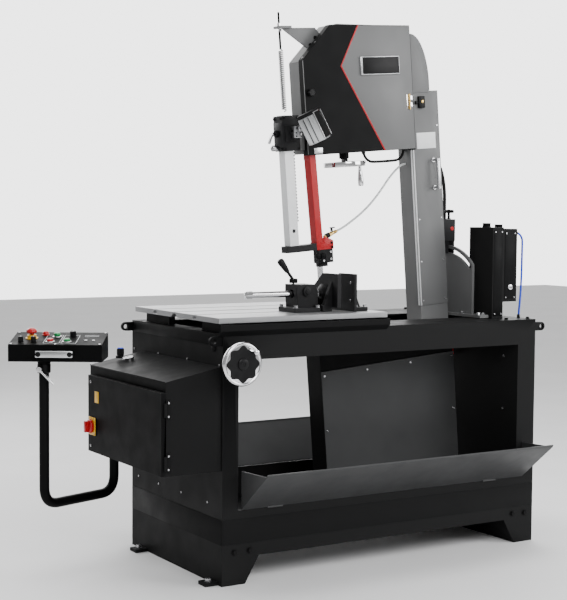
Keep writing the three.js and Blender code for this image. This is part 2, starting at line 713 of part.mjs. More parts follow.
for (const [name, t, length] of [['guide_lock_lever', 640, 60], ['guide_hand_knob', 590, 34]]) {
  place(name, name === 'guide_lock_lever' ? join(
    rod([-158 - GAP, 321, t], [-174, 321, t], 11, 16),
    rod([-168, 321, t], [-214, 296, t - length / 2], 5.5, 12),
  ) : rod([-158 - GAP, 321, t], [-158 - length, 321, t], 11, 16), STEEL, saw);
}

// ---- Counterbalance spring ----
place('spring_rod', join(
  rod([-128, 321, 940], [-128, 321, 1070], 4, 12),
  rod([-128, 321, 1020 + GAP], [-128, 321, 1030], 8, 6),
  rod([-128, 321, 1036], [-128, 321, 1046], 8, 6),
), STEEL, saw);
place('counter_spring', rod([-128, 321, 720], [-128, 321, 940 - GAP], 9, 12), STEEL, saw);

// ---- Work lamp ----
const LAMP = { centre: [469, 190, 1539.5], length: 110, width: 68, height: 76 };

function lampBody() {
  const { length, width, height, centre } = LAMP;
  const [a, b, c] = [length / 2, width / 2, height / 2];
  const body = join(
    box(-a + 14, a, -b, b, -c, c),
    prism('y', -b, b, [[-a, -c + 10], [-a + 15, -c], [-a + 15, c], [-a, c - 10]]),
  );
  const basis = new THREE.Matrix4().makeBasis(
    new THREE.Vector3(0.411, -0.166, -0.897).normalize(),
    new THREE.Vector3(0.482, -0.796, 0.367).normalize(),
    new THREE.Vector3(-0.776, -0.582, -0.247).normalize(),
  );
  basis.setPosition(...centre);
  return body.applyMatrix4(basis);
}
place('work_lamp', lampBody(), PLASTIC);

// ---- Hoses and cables on the saw frame ----
place('coolant_hose', pipe(through([
  [67, 321, 275], [85, 321, 281], [110, 321, 292], [140, 321, 308], [175, 321, 328], [210, 321, 352],
  [245, 321, 381], [280, 321, 415], [310, 321, 447], [340, 321, 474], [365, 321, 492], [382, 321, 500],
  [396, 321, 502],
]), 4, 8, 26), CLEAR, saw);
place('tension_hose', pipe(through([
  [206, 321, 560], [209.2, 321, 543.9], [218.3, 321, 530.3], [231.9, 321, 521.2], [248, 321, 518],
  [298, 321, 517], [348, 321, 518], [364.1, 321, 521.2], [377.7, 321, 530.3], [386.8, 321, 543.9],
  [390, 321, 560],
]), 5, 8, 24), PLASTIC, saw);
place('column_cable', pipe(through([
  [1098, 352, 1442], [1116, 352, 1441], [1138, 354, 1432], [1157, 357, 1414], [1171, 360, 1388],
  [1181, 362, 1352], [1186, 362, 1310], [1187, 362, 1250], [1187, 361, 1180], [1187, 358, 1120],
  [1191, 352, 1080], [1203, 339, 1036], [1219, 327, 998], [1229, 322, 968], [1231, 321, 946],
  [1226.7, 321, 924.6], [1214.6, 321, 906.4], [1196.4, 321, 894.3], [1177, 321, 890],
]), 7, 8, 36), PLASTIC);

// ---- Origin: bottom centre of the whole machine's box ----
const whole = new THREE.Box3().setFromObject(machine, true);
const middle = whole.getCenter(new THREE.Vector3());
machine.position.set(-middle.x, -middle.y, -whole.min.z);
const bandSaw = new THREE.Group();
bandSaw.add(machine);

export default bandSaw;
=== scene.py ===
import json
import math
from functools import partial

import bmesh
import bpy
from mathutils import Matrix, Vector


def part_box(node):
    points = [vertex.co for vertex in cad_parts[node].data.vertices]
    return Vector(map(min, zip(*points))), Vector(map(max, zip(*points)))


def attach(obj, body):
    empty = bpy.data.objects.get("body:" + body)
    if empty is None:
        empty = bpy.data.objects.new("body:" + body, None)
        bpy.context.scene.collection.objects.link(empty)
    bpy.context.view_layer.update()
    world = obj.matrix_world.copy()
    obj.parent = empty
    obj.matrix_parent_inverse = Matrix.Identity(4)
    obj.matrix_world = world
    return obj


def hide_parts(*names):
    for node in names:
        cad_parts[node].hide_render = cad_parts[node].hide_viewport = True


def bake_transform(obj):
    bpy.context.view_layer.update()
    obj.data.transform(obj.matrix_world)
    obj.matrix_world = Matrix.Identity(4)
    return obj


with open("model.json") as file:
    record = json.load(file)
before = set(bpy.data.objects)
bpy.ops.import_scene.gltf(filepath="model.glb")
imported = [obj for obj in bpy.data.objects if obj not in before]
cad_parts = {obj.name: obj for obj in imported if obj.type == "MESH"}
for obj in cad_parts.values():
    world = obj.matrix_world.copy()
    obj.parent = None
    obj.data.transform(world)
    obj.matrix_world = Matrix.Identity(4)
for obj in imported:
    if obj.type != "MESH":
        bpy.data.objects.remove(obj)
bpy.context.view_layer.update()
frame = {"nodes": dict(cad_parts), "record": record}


# ---- The machine's own axes, in millimetres ----
# Places are written from the near front-left bottom corner of the base: x along the front,
# y to the rear, z up. The saw frame leans in its own plane, and its places are (s, y, t).
TABLE_LOW, TABLE_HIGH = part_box("table_front")
TABLE_LEFT = -15
CORNER = Vector((TABLE_LOW.x - TABLE_LEFT / 1000, TABLE_LOW.y, 0))
TABLE_TOP = TABLE_HIGH.z * 1000
LEAN = math.radians(4.7)
PIVOT_X = 611
SAW_PLANE = 321
UP, DOWN, RIGHT, LEFT, FRONT, REAR = (0, 0, 1), (0, 0, -1), (1, 0, 0), (-1, 0, 0), (0, -1, 0), (0, 1, 0)
SHARP = math.radians(35)
# WORLD, SAW, DESK and KEYS turn millimetre places into the frame's metres. DESK stands at the
# console's collar, and KEYS at the near left corner of its sloping panel.
WORLD = Matrix.Translation(CORNER) @ Matrix.Scale(0.001, 4)
SAW = WORLD @ Matrix.Translation((PIVOT_X, 0, TABLE_TOP)) @ Matrix.Rotation(-LEAN, 4, "Y")
DESK = WORLD @ Matrix.Translation((-440, 450, 735)) @ Matrix.Rotation(math.radians(-31.5), 4, "Z")
DESK_LEFT, DESK_DEPTH, DESK_HEIGHT, DESK_RISE = -105, 85, 57, 27
KEYS = (
    DESK
    @ Matrix.Translation((DESK_LEFT, -DESK_DEPTH, DESK_HEIGHT))
    @ Matrix.Rotation(math.atan2(DESK_RISE, 2 * DESK_DEPTH), 4, "X")
)


# ---- Camera ----
def add_camera():
    yaw, pitch, roll = (math.radians(a) for a in (31.52, -3.63, -0.443))
    data = bpy.data.cameras.new("camera")
    data.lens = 83.3
    data.sensor_width = 36
    data.clip_end = 50
    camera = bpy.data.objects.new("camera", data)
    bpy.context.scene.collection.objects.link(camera)
    turn = (
        Matrix.Rotation(-yaw, 4, "Z")
        @ Matrix.Rotation(math.radians(90) + pitch, 4, "X")
        @ Matrix.Rotation(-roll, 4, "Z")
    )
    camera.matrix_world = Matrix.Translation(WORLD @ Vector((-2190.1, -3946.5, 1237.0))) @ turn
    bpy.context.scene.camera = camera


add_camera()


# ---- Materials ----
class Nodes:
    """A short way to add and join a material's nodes."""

    def __init__(self, name):
        self.material = bpy.data.materials.new(name)
        self.material.use_nodes = True
        self.tree = self.material.node_tree
        self.shader = self.tree.nodes["Principled BSDF"]
        self.place = self.tree.nodes.new("ShaderNodeTexCoord").outputs["Object"]

    def add(self, kind, **values):
        node = self.tree.nodes.new(kind)
        for key, value in values.items():
            if key in node.inputs:
                node.inputs[key].default_value = value
            else:
                setattr(node, key, value)
        return node

    def join(self, a, b):
        self.tree.links.new(a, b)

    def noise(self, scale, detail=3.0, stretch=(1, 1, 1)):
        mapping = self.add("ShaderNodeMapping")
        mapping.inputs["Scale"].default_value = stretch
        self.join(self.place, mapping.inputs["Vector"])
        texture = self.add("ShaderNodeTexNoise", Scale=scale, Detail=detail)
        self.join(mapping.outputs["Vector"], texture.inputs["Vector"])
        return texture.outputs["Fac"]

    def spread(self, value, low, high, start=0.3, end=0.7):
        node = self.add("ShaderNodeMapRange")
        for key, number in (("From Min", start), ("From Max", end), ("To Min", low), ("To Max", high)):
            node.inputs[key].default_value = number
        self.join(value, node.inputs["Value"])
        return node.outputs["Result"]

    def blend(self, factor, a, b):
        node = self.add("ShaderNodeMix", data_type="RGBA")
        for key, value in ((6, a), (7, b)):
            if isinstance(value, tuple):
                node.inputs[key].default_value = (*value, 1)
            else:
                self.join(value, node.inputs[key])
        self.join(factor, node.inputs["Factor"])
        return node.outputs[2]

    def bump(self, height, strength, distance):
        node = self.add("ShaderNodeBump", Strength=strength, Distance=distance)
        self.join(height, node.inputs["Height"])
        self.join(node.outputs["Normal"], self.shader.inputs["Normal"])

    def edges(self, low, high):
        geometry = self.add("ShaderNodeNewGeometry")
        return self.spread(geometry.outputs["Pointiness"], 0, 1, low, high)


def shade(color, factor):
    return tuple(min(1.0, c * factor) for c in color)


def paint(name, color, roughness, peel=420, depth=0.00012, wear=0.35, metallic=0.0, coat=0.0, gloss=0.5):
    """Sprayed or powder-coated steel: slight mottling, orange peel, and rubbed edges."""
    n = Nodes(name)
    cloudy = n.spread(n.noise(6), 0, 1)
    base = n.blend(cloudy, shade(color, 0.9), shade(color, 1.12))
    rubbed = n.blend(n.edges(0.515, 0.6), base, tuple(c * (1 - wear) + wear * 0.35 for c in color))
    n.join(rubbed, n.shader.inputs["Base Color"])
    smears = n.spread(n.noise(14, 5), roughness - 0.07, roughness + 0.08)
    n.join(smears, n.shader.inputs["Roughness"])
    n.shader.inputs["Specular IOR Level"].default_value = gloss
    n.shader.inputs["Metallic"].default_value = metallic
    n.shader.inputs["Coat Weight"].default_value = coat
    n.bump(n.noise(peel, 2), 0.35, depth)
    return n.material


def metal(name, color, roughness, stretch=(1, 1, 1), scale=300, depth=0.00004, tint=0.12):
    """Bare metal with fine machining or polishing lines along one direction."""
    n = Nodes(name)
    lines = n.noise(scale, 4, stretch)
    base = n.blend(n.spread(n.noise(9, 5), 0, 1), shade(color, 1 - tint), shade(color, 1 + tint))
    n.join(base, n.shader.inputs["Base Color"])
    n.join(n.spread(lines, roughness * 0.75, roughness * 1.3), n.shader.inputs["Roughness"])
    n.shader.inputs["Metallic"].default_value = 1.0
    n.bump(lines, 0.25, depth)
    return n.material


def casting(name, color, roughness):
    """Painted cast iron with the pebbled skin of a sand mould."""
    n = Nodes(name)
    base = n.blend(n.spread(n.noise(30, 4), 0, 1), shade(color, 0.8), shade(color, 1.3))
    rubbed = n.blend(n.edges(0.53, 0.62), base, shade(color, 3.0))
    n.join(rubbed, n.shader.inputs["Base Color"])
    n.join(n.spread(n.noise(60), roughness - 0.08, roughness + 0.1), n.shader.inputs["Roughness"])
    n.shader.inputs["Specular IOR Level"].default_value = 0.12
    n.bump(n.noise(190, 5), 0.5, 0.0004)
    return n.material


def moulded(name, color, roughness, coat=0.0, grain=700, gloss=0.4):
    """Moulded plastic or rubber with a fine grain."""
    n = Nodes(name)
    base = n.blend(n.spread(n.noise(20), 0, 1), shade(color, 0.93), shade(color, 1.08))
    n.join(base, n.shader.inputs["Base Color"])
    n.join(n.spread(n.noise(45), roughness - 0.05, roughness + 0.06), n.shader.inputs["Roughness"])
    n.shader.inputs["Coat Weight"].default_value = coat
    n.shader.inputs["Specular IOR Level"].default_value = gloss
    n.bump(n.noise(grain, 2), 0.2, 0.00006)
    return n.material


def ground_iron(name):
    """A ground table top: long grinding lines along x over a faint cloudy stain."""
    n = Nodes(name)
    lines = n.noise(900, 3, (0.03, 1, 1))
    stain = n.spread(n.noise(5, 6), 0, 1, 0.35, 0.75)
    base = n.blend(stain, (0.33, 0.335, 0.34), (0.43, 0.435, 0.44))
    n.join(n.blend(n.spread(lines, 0, 0.5), base, (0.25, 0.25, 0.26)), n.shader.inputs["Base Color"])
    n.join(n.spread(lines, 0.3, 0.48), n.shader.inputs["Roughness"])
    n.shader.inputs["Metallic"].default_value = 0.75
    n.bump(lines, 0.3, 0.00006)
    return n.material


def clear_plastic(name):
    """Cloudy clear hose, only slightly see-through."""
    n = Nodes(name)
    base = n.blend(n.spread(n.noise(40), 0, 1), (0.55, 0.57, 0.57), (0.66, 0.68, 0.68))
    n.join(base, n.shader.inputs["Base Color"])
    n.join(n.spread(n.noise(60), 0.12, 0.25), n.shader.inputs["Roughness"])
    n.shader.inputs["Transmission Weight"].default_value = 0.15
    n.bump(n.noise(500, 2), 0.1, 0.00004)
    return n.material


BLACK = paint("black_powder_coat", (0.0035, 0.0036, 0.0038), 0.45, wear=0.03, gloss=0.035)
SATIN_BLACK = paint(
    "satin_black", (0.003, 0.0031, 0.0033), 0.34, peel=600, depth=0.00006, wear=0.02, gloss=0.04,
)
GREY = paint("grey_paint", (0.125, 0.127, 0.128), 0.42, wear=0.1, metallic=0.1, gloss=0.25)
# The same grey paint as GREY, darkened as painted shade for the parts that sit in shade beneath the table.
SHADED_GREY = paint("grey_paint_painted_shade", (0.045, 0.046, 0.047), 0.4, wear=0.08, metallic=0.1, gloss=0.2)
RED = paint("red_paint", (0.36, 0.002, 0.006), 0.3, peel=350, wear=0.03, coat=0.08, gloss=0.2)
PALE = paint("pale_tube", (0.8, 0.81, 0.82), 0.34, peel=500, depth=0.00005, wear=0.1)
IRON = ground_iron("ground_iron")
CAST = casting("black_casting", (0.008, 0.008, 0.0085), 0.42)
STEEL = metal("bright_steel", (0.5, 0.5, 0.51), 0.24)
DARK_STEEL = metal("dark_steel", (0.2, 0.2, 0.205), 0.3)
CHROME = metal("chrome", (0.8, 0.8, 0.81), 0.1, scale=60, depth=0.00001, tint=0.04)
ALUMINIUM = metal("aluminium", (0.6, 0.61, 0.62), 0.3, (1, 12, 12))
BRASS = metal("brass", (0.68, 0.46, 0.16), 0.26)
PLASTIC = moulded("black_plastic", (0.006, 0.006, 0.0065), 0.36, gloss=0.15)
RUBBER = moulded("black_rubber", (0.008, 0.008, 0.008), 0.5, grain=400, gloss=0.12)
RED_PLASTIC = moulded("red_plastic", (0.45, 0.004, 0.008), 0.28, coat=0.15)
GREEN_PLASTIC = moulded("green_plastic", (0.004, 0.24, 0.06), 0.3, coat=0.1)
YELLOW_PLASTIC = moulded("yellow_plastic", (0.75, 0.42, 0.003), 0.34, coat=0.1)
WHITE_PLASTIC = moulded("white_label", (0.78, 0.79, 0.8), 0.4)
BLUE = moulded("blue_hose", (0.02, 0.06, 0.55), 0.35)
CLEAR = clear_plastic("clear_hose")


# ---- Meshes ----
def shown(name, mesh, material, node=None):
    """A smooth-shaded object; node names the CAD piece that it stands for."""
    mesh.materials.append(material)
    mesh.polygons.foreach_set("use_smooth", [True] * len(mesh.polygons))
    obj = bpy.data.objects.new(name, mesh)
    bpy.context.scene.collection.objects.link(obj)
    if node:
        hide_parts(node)
    return obj


def piece(name, mesh, body, slot, material, node=None, angle=35):
    """A rigid object: smooth where faces meet gently, riding on its CAD body."""
    mesh.set_sharp_from_angle(angle=math.radians(angle))
    obj = shown(name, mesh, material, node)
    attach(obj, body)
    return obj


def to_mesh(name, bm, place):
    """Turns a bmesh in the millimetres of place into a mesh in metres."""
    bmesh.ops.transform(bm, matrix=place, verts=bm.verts)
    bmesh.ops.recalc_face_normals(bm, faces=bm.faces)
    mesh = bpy.data.meshes.new(name)
    bm.to_mesh(mesh)
    bm.free()
    return mesh


def solid(name, bm, body, slot, material, place=WORLD, **more):
    """A rigid object from a bmesh in the millimetres of place."""
    return piece(name, to_mesh(name, bm, place), body, slot, material, **more)


def round_edges(bm, radius):
    """Rounds every edge that is sharper than SHARP."""
    sharp = [e for e in bm.edges if e.is_manifold and e.calc_face_angle(0) > SHARP]
    if sharp:
        bmesh.ops.bevel(
            bm, geom=sharp, offset=radius, segments=2, profile=0.5, affect="EDGES", clamp_overlap=True,
        )


def add_box(bm, x0, x1, y0, y1, z0, z1):
    place = Matrix.Translation(((x0 + x1) / 2, (y0 + y1) / 2, (z0 + z1) / 2))
    place = place @ Matrix.Diagonal((x1 - x0, y1 - y0, z1 - z0, 1))
    bmesh.ops.create_cube(bm, size=1, matrix=place)


def add_turned(bm, profile, start, direction, sides=40, lobes=0, dip=0.0):
    """A turned solid: profile lists (distance along the axis, radius); lobes scallop it."""
    turn = Vector(UP).rotation_difference(Vector(direction)).to_matrix()
    rings = []
    for along, radius in profile:
        ring = []
        for i in range(sides):
            a = 2 * math.pi * i / sides
            reach = radius * (1 - dip * (0.5 - 0.5 * math.cos(lobes * a)))
            local = Vector((reach * math.cos(a), reach * math.sin(a), along))
            ring.append(bm.verts.new(Vector(start) + turn @ local))
        rings.append(ring)
    for below, above in zip(rings, rings[1:]):
        for i in range(sides):
            j = (i + 1) % sides
            bm.faces.new((below[i], below[j], above[j], above[i]))
    bm.faces.new(list(reversed(rings[0])))
    bm.faces.new(rings[-1])


def add_ring(bm, loop, start, direction, sides=64):
    """A closed ring: loop lists (distance along the axis, radius) around its section."""
    turn = Vector(UP).rotation_difference(Vector(direction)).to_matrix()
    rings = []
    for i in range(sides):
        a = 2 * math.pi * i / sides
        spots = [Vector((r * math.cos(a), r * math.sin(a), along)) for along, r in loop]
        rings.append([bm.verts.new(Vector(start) + turn @ spot) for spot in spots])
    for i in range(sides):
        near, far = rings[i], rings[(i + 1) % sides]
        for k in range(len(loop)):
            j = (k + 1) % len(loop)
            bm.faces.new((near[k], far[k], far[j], near[j]))


def add_outline(bm, points, y0, y1):
    """An (x, z) outline given thickness in y."""
    near = [bm.verts.new((x, y0, z)) for x, z in points]
    far = [bm.verts.new((x, y1, z)) for x, z in points]
    bm.faces.new(near)
    bm.faces.new(list(reversed(far)))
    for i in range(len(points)):
        j = (i + 1) % len(points)
        bm.faces.new((near[j], near[i], far[i], far[j]))


def smooth_path(points, step=6.0):
    """A Catmull-Rom curve through the points, in short even steps."""
    knots = [Vector(p) for p in points]
    knots = [2 * knots[0] - knots[1]] + knots + [2 * knots[-1] - knots[-2]]
    path = []
    for a, b, c, d in zip(knots, knots[1:], knots[2:], knots[3:]):
        count = max(2, int((c - b).length / step))
        for i in range(count):
            u = i / count
            path.append(
                0.5 * (2 * b + (c - a) * u + (2 * a - 5 * b + 4 * c - d) * u * u
                       + (3 * b - a - 3 * c + d) * u ** 3)
            )
    path.append(knots[-2])
    return path


def add_tube(bm, path, radius, sides=14):
    """A round section carried along a path without twisting, closed at both ends."""
    rings = []
    side = None
    for i, point in enumerate(path):
        ahead = (path[min(i + 1, len(path) - 1)] - path[max(i - 1, 0)]).normalized()
        if side is None:
            side = ahead.orthogonal().normalized()
        side = (side - ahead * side.dot(ahead)).normalized()
        other = ahead.cross(side)
        turns = [2 * math.pi * k / sides for k in range(sides)]
        rings.append([
            bm.verts.new(point + radius * (side * math.cos(a) + other * math.sin(a))) for a in turns
        ])
    for below, above in zip(rings, rings[1:]):
        for k in range(sides):
            j = (k + 1) % sides
            bm.faces.new((below[k], below[j], above[j], above[k]))
    bm.faces.new(list(reversed(rings[0])))
    bm.faces.new(rings[-1])


def turned(name, profile, start, direction, body, slot, material, place=WORLD, sides=40, **more):
    """One turned solid as an object of its own."""
    bm = bmesh.new()
    add_turned(bm, profile, start, direction, sides)
    solid(name, bm, body, slot, material, place, **more)


def block(name, sizes, body, slot, material, place=WORLD, radius=1.0, **more):
    """One or more rounded boxes; sizes lists x0, x1, y0, y1, z0, z1 for each."""
    bm = bmesh.new()
    for limits in sizes:
        add_box(bm, *limits)
    round_edges(bm, radius)
    solid(name, bm, body, slot, material, place, **more)


def plate(name, points, y0, y1, body, slot, material, radius=0.4, **more):
    """An (s, t) outline in the saw frame, from y0 to y1, with its edges rounded."""
    bm = bmesh.new()
    add_outline(bm, points, y0, y1)
    bmesh.ops.recalc_face_normals(bm, faces=bm.faces)
    round_edges(bm, radius)
    solid(name, bm, body, slot, material, SAW, **more)


def refine(node, slot, material, radius):
    """The CAD node's own shape with its edges rounded, standing for the node."""
    bm = bmesh.new()
    bm.from_mesh(frame["nodes"][node].data)
    bmesh.ops.remove_doubles(bm, verts=bm.verts, dist=0.00001)
    bmesh.ops.dissolve_limit(bm, angle_limit=math.radians(1), verts=bm.verts, edges=bm.edges)
    round_edges(bm, radius / 1000)
    name = node + "_shell"
    mesh = bpy.data.meshes.new(name)
    bmesh.ops.triangulate(bm, faces=[f for f in bm.faces if len(f.verts) > 4])
    bm.to_mesh(mesh)
    bm.free()
    obj = piece(name, mesh, body_of_node(node), slot, material, node)
    weighted = obj.modifiers.new("even_shading", "WEIGHTED_NORMAL")
    weighted.keep_sharp = True


def body_of_node(node):
    """The record's body that carries a CAD node."""
    bodies = frame["record"]["behaviour"]["bodies"]
    return next(body for body, nodes in bodies.items() if node in nodes)


def hex_bolt(bm, centre, direction, across=16, height=7):
    """A hexagon head on its washer."""
    add_turned(bm, [(0, across * 0.72), (1.4, across * 0.72)], centre, direction, 24)
    start = Vector(centre) + Vector(direction) * 1.4
    r = across / math.sqrt(3)
    add_turned(bm, [(0, r), (height - 1.2, r), (height, r * 0.86)], start, direction, 6)


def socket_screw(bm, centre, direction, radius=4.5, height=4.5):
    """A round head with a sunk hexagon socket."""
    profile = [(0, radius), (height * 0.85, radius), (height, radius * 0.88), (height, radius * 0.5)]
    add_turned(bm, profile + [(height * 0.45, radius * 0.48)], centre, direction, 20)


def fasteners(kind, name, places, direction, body, material=STEEL, place=WORLD, **sizes):
    """Screws or bolts of one kind and direction, as one object."""
    bm = bmesh.new()
    for centre in places:
        kind(bm, centre, direction, **sizes)
    solid(name, bm, body, "bright_steel", material, place)


screws = partial(fasteners, socket_screw)
bolts = partial(fasteners, hex_bolt)


# ---- Hoses and cables: the routes are the design's, in the saw frame's or the base's axes ----
COOLANT_ROUTE = [
    (67, 321, 275), (85, 321, 281), (110, 321, 292), (140, 321, 308), (175, 321, 328), (210, 321, 352),
    (245, 321, 381), (280, 321, 415), (310, 321, 447), (340, 321, 474), (365, 321, 492), (382, 321, 500),
    (396, 321, 502),
]
TENSION_ROUTE = [
    (206, 321, 560), (209.2, 321, 543.9), (218.3, 321, 530.3), (231.9, 321, 521.2), (248, 321, 518),
    (298, 321, 517), (348, 321, 518), (364.1, 321, 521.2), (377.7, 321, 530.3), (386.8, 321, 543.9),
    (390, 321, 560),
]
CABLE_ROUTE = [
    (1098, 352, 1442), (1116, 352, 1441), (1138, 354, 1432), (1157, 357, 1414), (1171, 360, 1388),
    (1181, 362, 1352), (1186, 362, 1310), (1187, 362, 1250), (1187, 361, 1180), (1187, 358, 1120),
    (1191, 352, 1080), (1203, 339, 1036), (1219, 327, 998), (1229, 322, 968), (1231, 321, 946),
    (1226.7, 321, 924.6), (1214.6, 321, 906.4), (1196.4, 321, 894.3), (1177, 321, 890),
]
AIR_ROUTE = [
    (1317, 90, 1165), (1329, 90, 1162.4), (1340, 90, 1155), (1347.4, 90, 1144), (1350, 90, 1131),
    (1350, 90, 1090), (1348, 89, 1000), (1343, 88, 920), (1338, 88, 870), (1336, 88, 843),
]


def hose(name, route, diameter, body, slot, material, place, node, crossing=None):
    """A hose held at both ends; crossing names the two bodies that it runs between, and such a hose is left
    on no body, fixed where it lies.
    """
    path = smooth_path(route, 5)
    bm = bmesh.new()
    add_tube(bm, path, diameter / 2)
    mesh = to_mesh(name, bm, place)
    if crossing:
        obj = shown(name, mesh, material, node)
        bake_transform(obj)
    else:
        obj = piece(name, mesh, body, slot, material, node)


hose("coolant_hose_tube", COOLANT_ROUTE, 8, None, "clear_hose", CLEAR, SAW, "coolant_hose",
     crossing=("guide_arm", "saw_frame"))
hose("tension_hose_tube", TENSION_ROUTE, 10, "saw_frame", "black_hose", RUBBER, SAW, "tension_hose")
hose("column_cable_tube", CABLE_ROUTE, 14, None, "black_hose", RUBBER, WORLD, "column_cable",
     crossing=("saw_frame", "carriage"))
hose("air_line_tube", AIR_ROUTE, 8, "base", "blue_hose", BLUE, WORLD, "air_line")


# ---- Studio ----
def light_backdrop(tree):
    """A sky that is bright behind the machine and dimmer all round it."""
    place = tree.nodes.new("ShaderNodeTexCoord")
    facing = tree.nodes.new("ShaderNodeVectorMath")
    facing.operation = "DOT_PRODUCT"
    facing.inputs[1].default_value = (0.52, 0.85, 0)
    ramp = tree.nodes.new("ShaderNodeMapRange")
    ramp.interpolation_type = "SMOOTHSTEP"
    for key, number in (("From Min", 0.55), ("From Max", 0.93), ("To Min", 0.38), ("To Max", 3.6)):
        ramp.inputs[key].default_value = number
    background = tree.nodes["Background"]
    background.inputs["Color"].default_value = (1, 1, 1, 1)
    tree.links.new(place.outputs["Generated"], facing.inputs[0])
    tree.links.new(facing.outputs["Value"], ramp.inputs["Value"])
    tree.links.new(ramp.outputs["Result"], background.inputs["Strength"])


def studio():
    floor_mesh = bpy.data.meshes.new("floor")
    bm = bmesh.new()
    bmesh.ops.create_grid(bm, x_segments=2, y_segments=2, size=14)
    bm.to_mesh(floor_mesh)
    bm.free()
    n = Nodes("pale_floor")
    base = n.blend(n.spread(n.noise(2), 0, 1), (0.86, 0.86, 0.865), (0.9, 0.9, 0.905))
    n.join(base, n.shader.inputs["Base Color"])
    n.shader.inputs["Roughness"].default_value = 0.75
    floor_mesh.materials.append(n.material)
    floor = bpy.data.objects.new("floor", floor_mesh)
    bpy.context.scene.collection.objects.link(floor)
    world = bpy.data.worlds.new("studio")
    world.use_nodes = True
    light_backdrop(world.node_tree)
    bpy.context.scene.world = world
    lights = (
        ("key_light", (-0.6, -4.2, 3.2), 2.4, 150),
        ("fill_light", (3.2, -3.2, 2.4), 2.6, 130),
        ("top_light", (0.2, 0.6, 4.4), 3.0, 110),
        ("rear_light", (-1.5, 3.6, 3.0), 2.4, 90),
    )
    for name, where, size, power in lights:
        data = bpy.data.lights.new(name, "AREA")
        data.energy = power
        data.size = size
        lamp = bpy.data.objects.new(name, data)
        bpy.context.scene.collection.objects.link(lamp)
        aim = Vector((0, 0, 0.9)) - Vector(where)
        lamp.rotation_euler = aim.to_track_quat("-Z", "Y").to_euler()
        lamp.location = where


studio()


# ---- CAD shapes kept, with rounded edges ----
for node, slot, material, radius in (
    ("base_frame", "black_paint", BLACK, 1.5),
    ("table_front", "table_iron", IRON, 0.8),
    ("table_rear", "table_iron", IRON, 0.8),
    # The chip trays take the grey paint darkened as painted shade.
    ("front_chip_tray", "grey_paint", SHADED_GREY, 0.7),
    ("rear_chip_tray", "grey_paint", SHADED_GREY, 0.7),
    ("electrical_cabinet", "black_paint", BLACK, 1.2),
    ("cabinet_door", "black_paint", BLACK, 1.5),
    ("console_box", "black_paint", BLACK, 2.0),
    ("vise_body", "black_casting", CAST, 3.0),
    ("moving_jaw", "black_casting", CAST, 2.0),
    ("fixed_jaw", "black_casting", CAST, 2.0),
    ("hydraulic_unit", "black_paint", BLACK, 2.0),
    ("carriage", "black_paint", BLACK, 1.0),
    ("tilt_lock_block", "black_casting", CAST, 2.0),
    ("tilt_quadrant", "grey_paint", GREY, 0.8),
    ("head_housing", "grey_paint", GREY, 1.0),
    ("head_door", "black_paint", SATIN_BLACK, 1.5),
    ("column", "grey_paint", GREY, 1.2),
    ("lower_housing", "black_paint", BLACK, 1.5),
    # The lower cover's grey is darkened as painted shade.
    ("lower_cover", "grey_paint", SHADED_GREY, 0.9),
    ("gearmotor", "black_paint", BLACK, 2.5),
    ("drive_bracket", "red_paint", RED, 1.5),
    ("tension_slide", "bright_steel", STEEL, 1.0),
    ("upper_wheel", "table_iron", STEEL, 1.0),
    ("lower_wheel", "table_iron", STEEL, 1.0),
    ("saw_blade", "bright_steel", STEEL, 0.1),
    ("guide_clamp", "black_casting", CAST, 1.5),
    ("guide_tube", "white_paint", PALE, 0.8),
    ("guide_arm", "black_casting", CAST, 1.5),
    ("blade_guard", "red_paint", RED, 0.8),
    ("blade_guide", "red_paint", CAST, 1.5),
    ("lower_guide", "red_paint", RED, 1.5),
    ("coolant_valve", "brass", BRASS, 0.5),
):
    refine(node, slot, material, radius)


# ---- Head ----
def strip(points, width):
    """A band of one width along an open (x, z) line, as an outline."""
    left, right = [], []
    for i, (x, z) in enumerate(points):
        before = Vector(points[max(i - 1, 0)])
        after = Vector(points[min(i + 1, len(points) - 1)])
        ahead = (after - before).normalized()
        across = Vector((-ahead.y, ahead.x)) * width / 2
        left.append((x + across.x, z + across.y))
        right.append((x - across.x, z - across.y))
    return left + right[::-1]


CHEVRON = [(176, 1016.2), (93, 871), (268, 558.2)]
plate(
    "head_door_grey_half", CHEVRON + [(408.8, 558.2), (408.8, 1013.8)], 269.2, 270.2,
    "head_door", "grey_paint", GREY, radius=0.3,
)
plate("head_door_red_line", strip(CHEVRON, 5.5), 268.8, 270.1, "head_door", "red_paint", RED, radius=0.2)


def blank_badge():
    """A dark plate in a pale rim, standing a little off the door, with no mark on it."""
    block("badge_rim", [(174, 349, 260, 269.4, 836, 903)], "head_door", "bright_steel", ALUMINIUM,
          SAW, radius=2.0)
    block("badge_face", [(182, 346, 258.6, 262, 839, 900)], "head_door", "black_plastic", PLASTIC,
          SAW, radius=1.2)


def head_door_knob():
    """A black knob with six lobes."""
    centre, radius, length = (-48, 270, 779), 15, 18
    bm = bmesh.new()
    grip = [(length * 0.3, radius * 0.84), (length * 0.38, radius), (length * 0.85, radius),
            (length, radius * 0.8)]
    add_turned(bm, grip, centre, FRONT, 72, 6, 0.24)
    add_turned(bm, [(0, radius * 0.55), (length * 0.35, radius * 0.5)], centre, FRONT, 32)
    cap = Vector(centre) + Vector(FRONT) * length * 0.98
    add_turned(bm, [(0, radius * 0.42), (1.2, radius * 0.36)], cap, FRONT, 28)
    solid("head_door_knob", bm, "head_door", "black_plastic", PLASTIC, SAW)


def head_hinge():
    """A brass knuckle with two pale leaves on each side of the door's seam."""
    bm = bmesh.new()
    for k in range(5):
        low = 704 + k * 11.6
        add_turned(bm, [(0, 3.4), (0.6, 4), (10.6, 4), (11.2, 3.4)], (390, 266, low), UP, 24)
    solid("head_hinge_knuckles", bm, "head_door", "brass", BRASS, SAW)
    leaves = [(394, 405, 267.2, 269.6, 712, 730), (394, 405, 267.2, 269.6, 737, 755),
              (378, 386, 268.2, 269.6, 706, 760)]
    block("head_hinge_leaves", leaves, "head_door", "bright_steel", CHROME, SAW, radius=0.8)


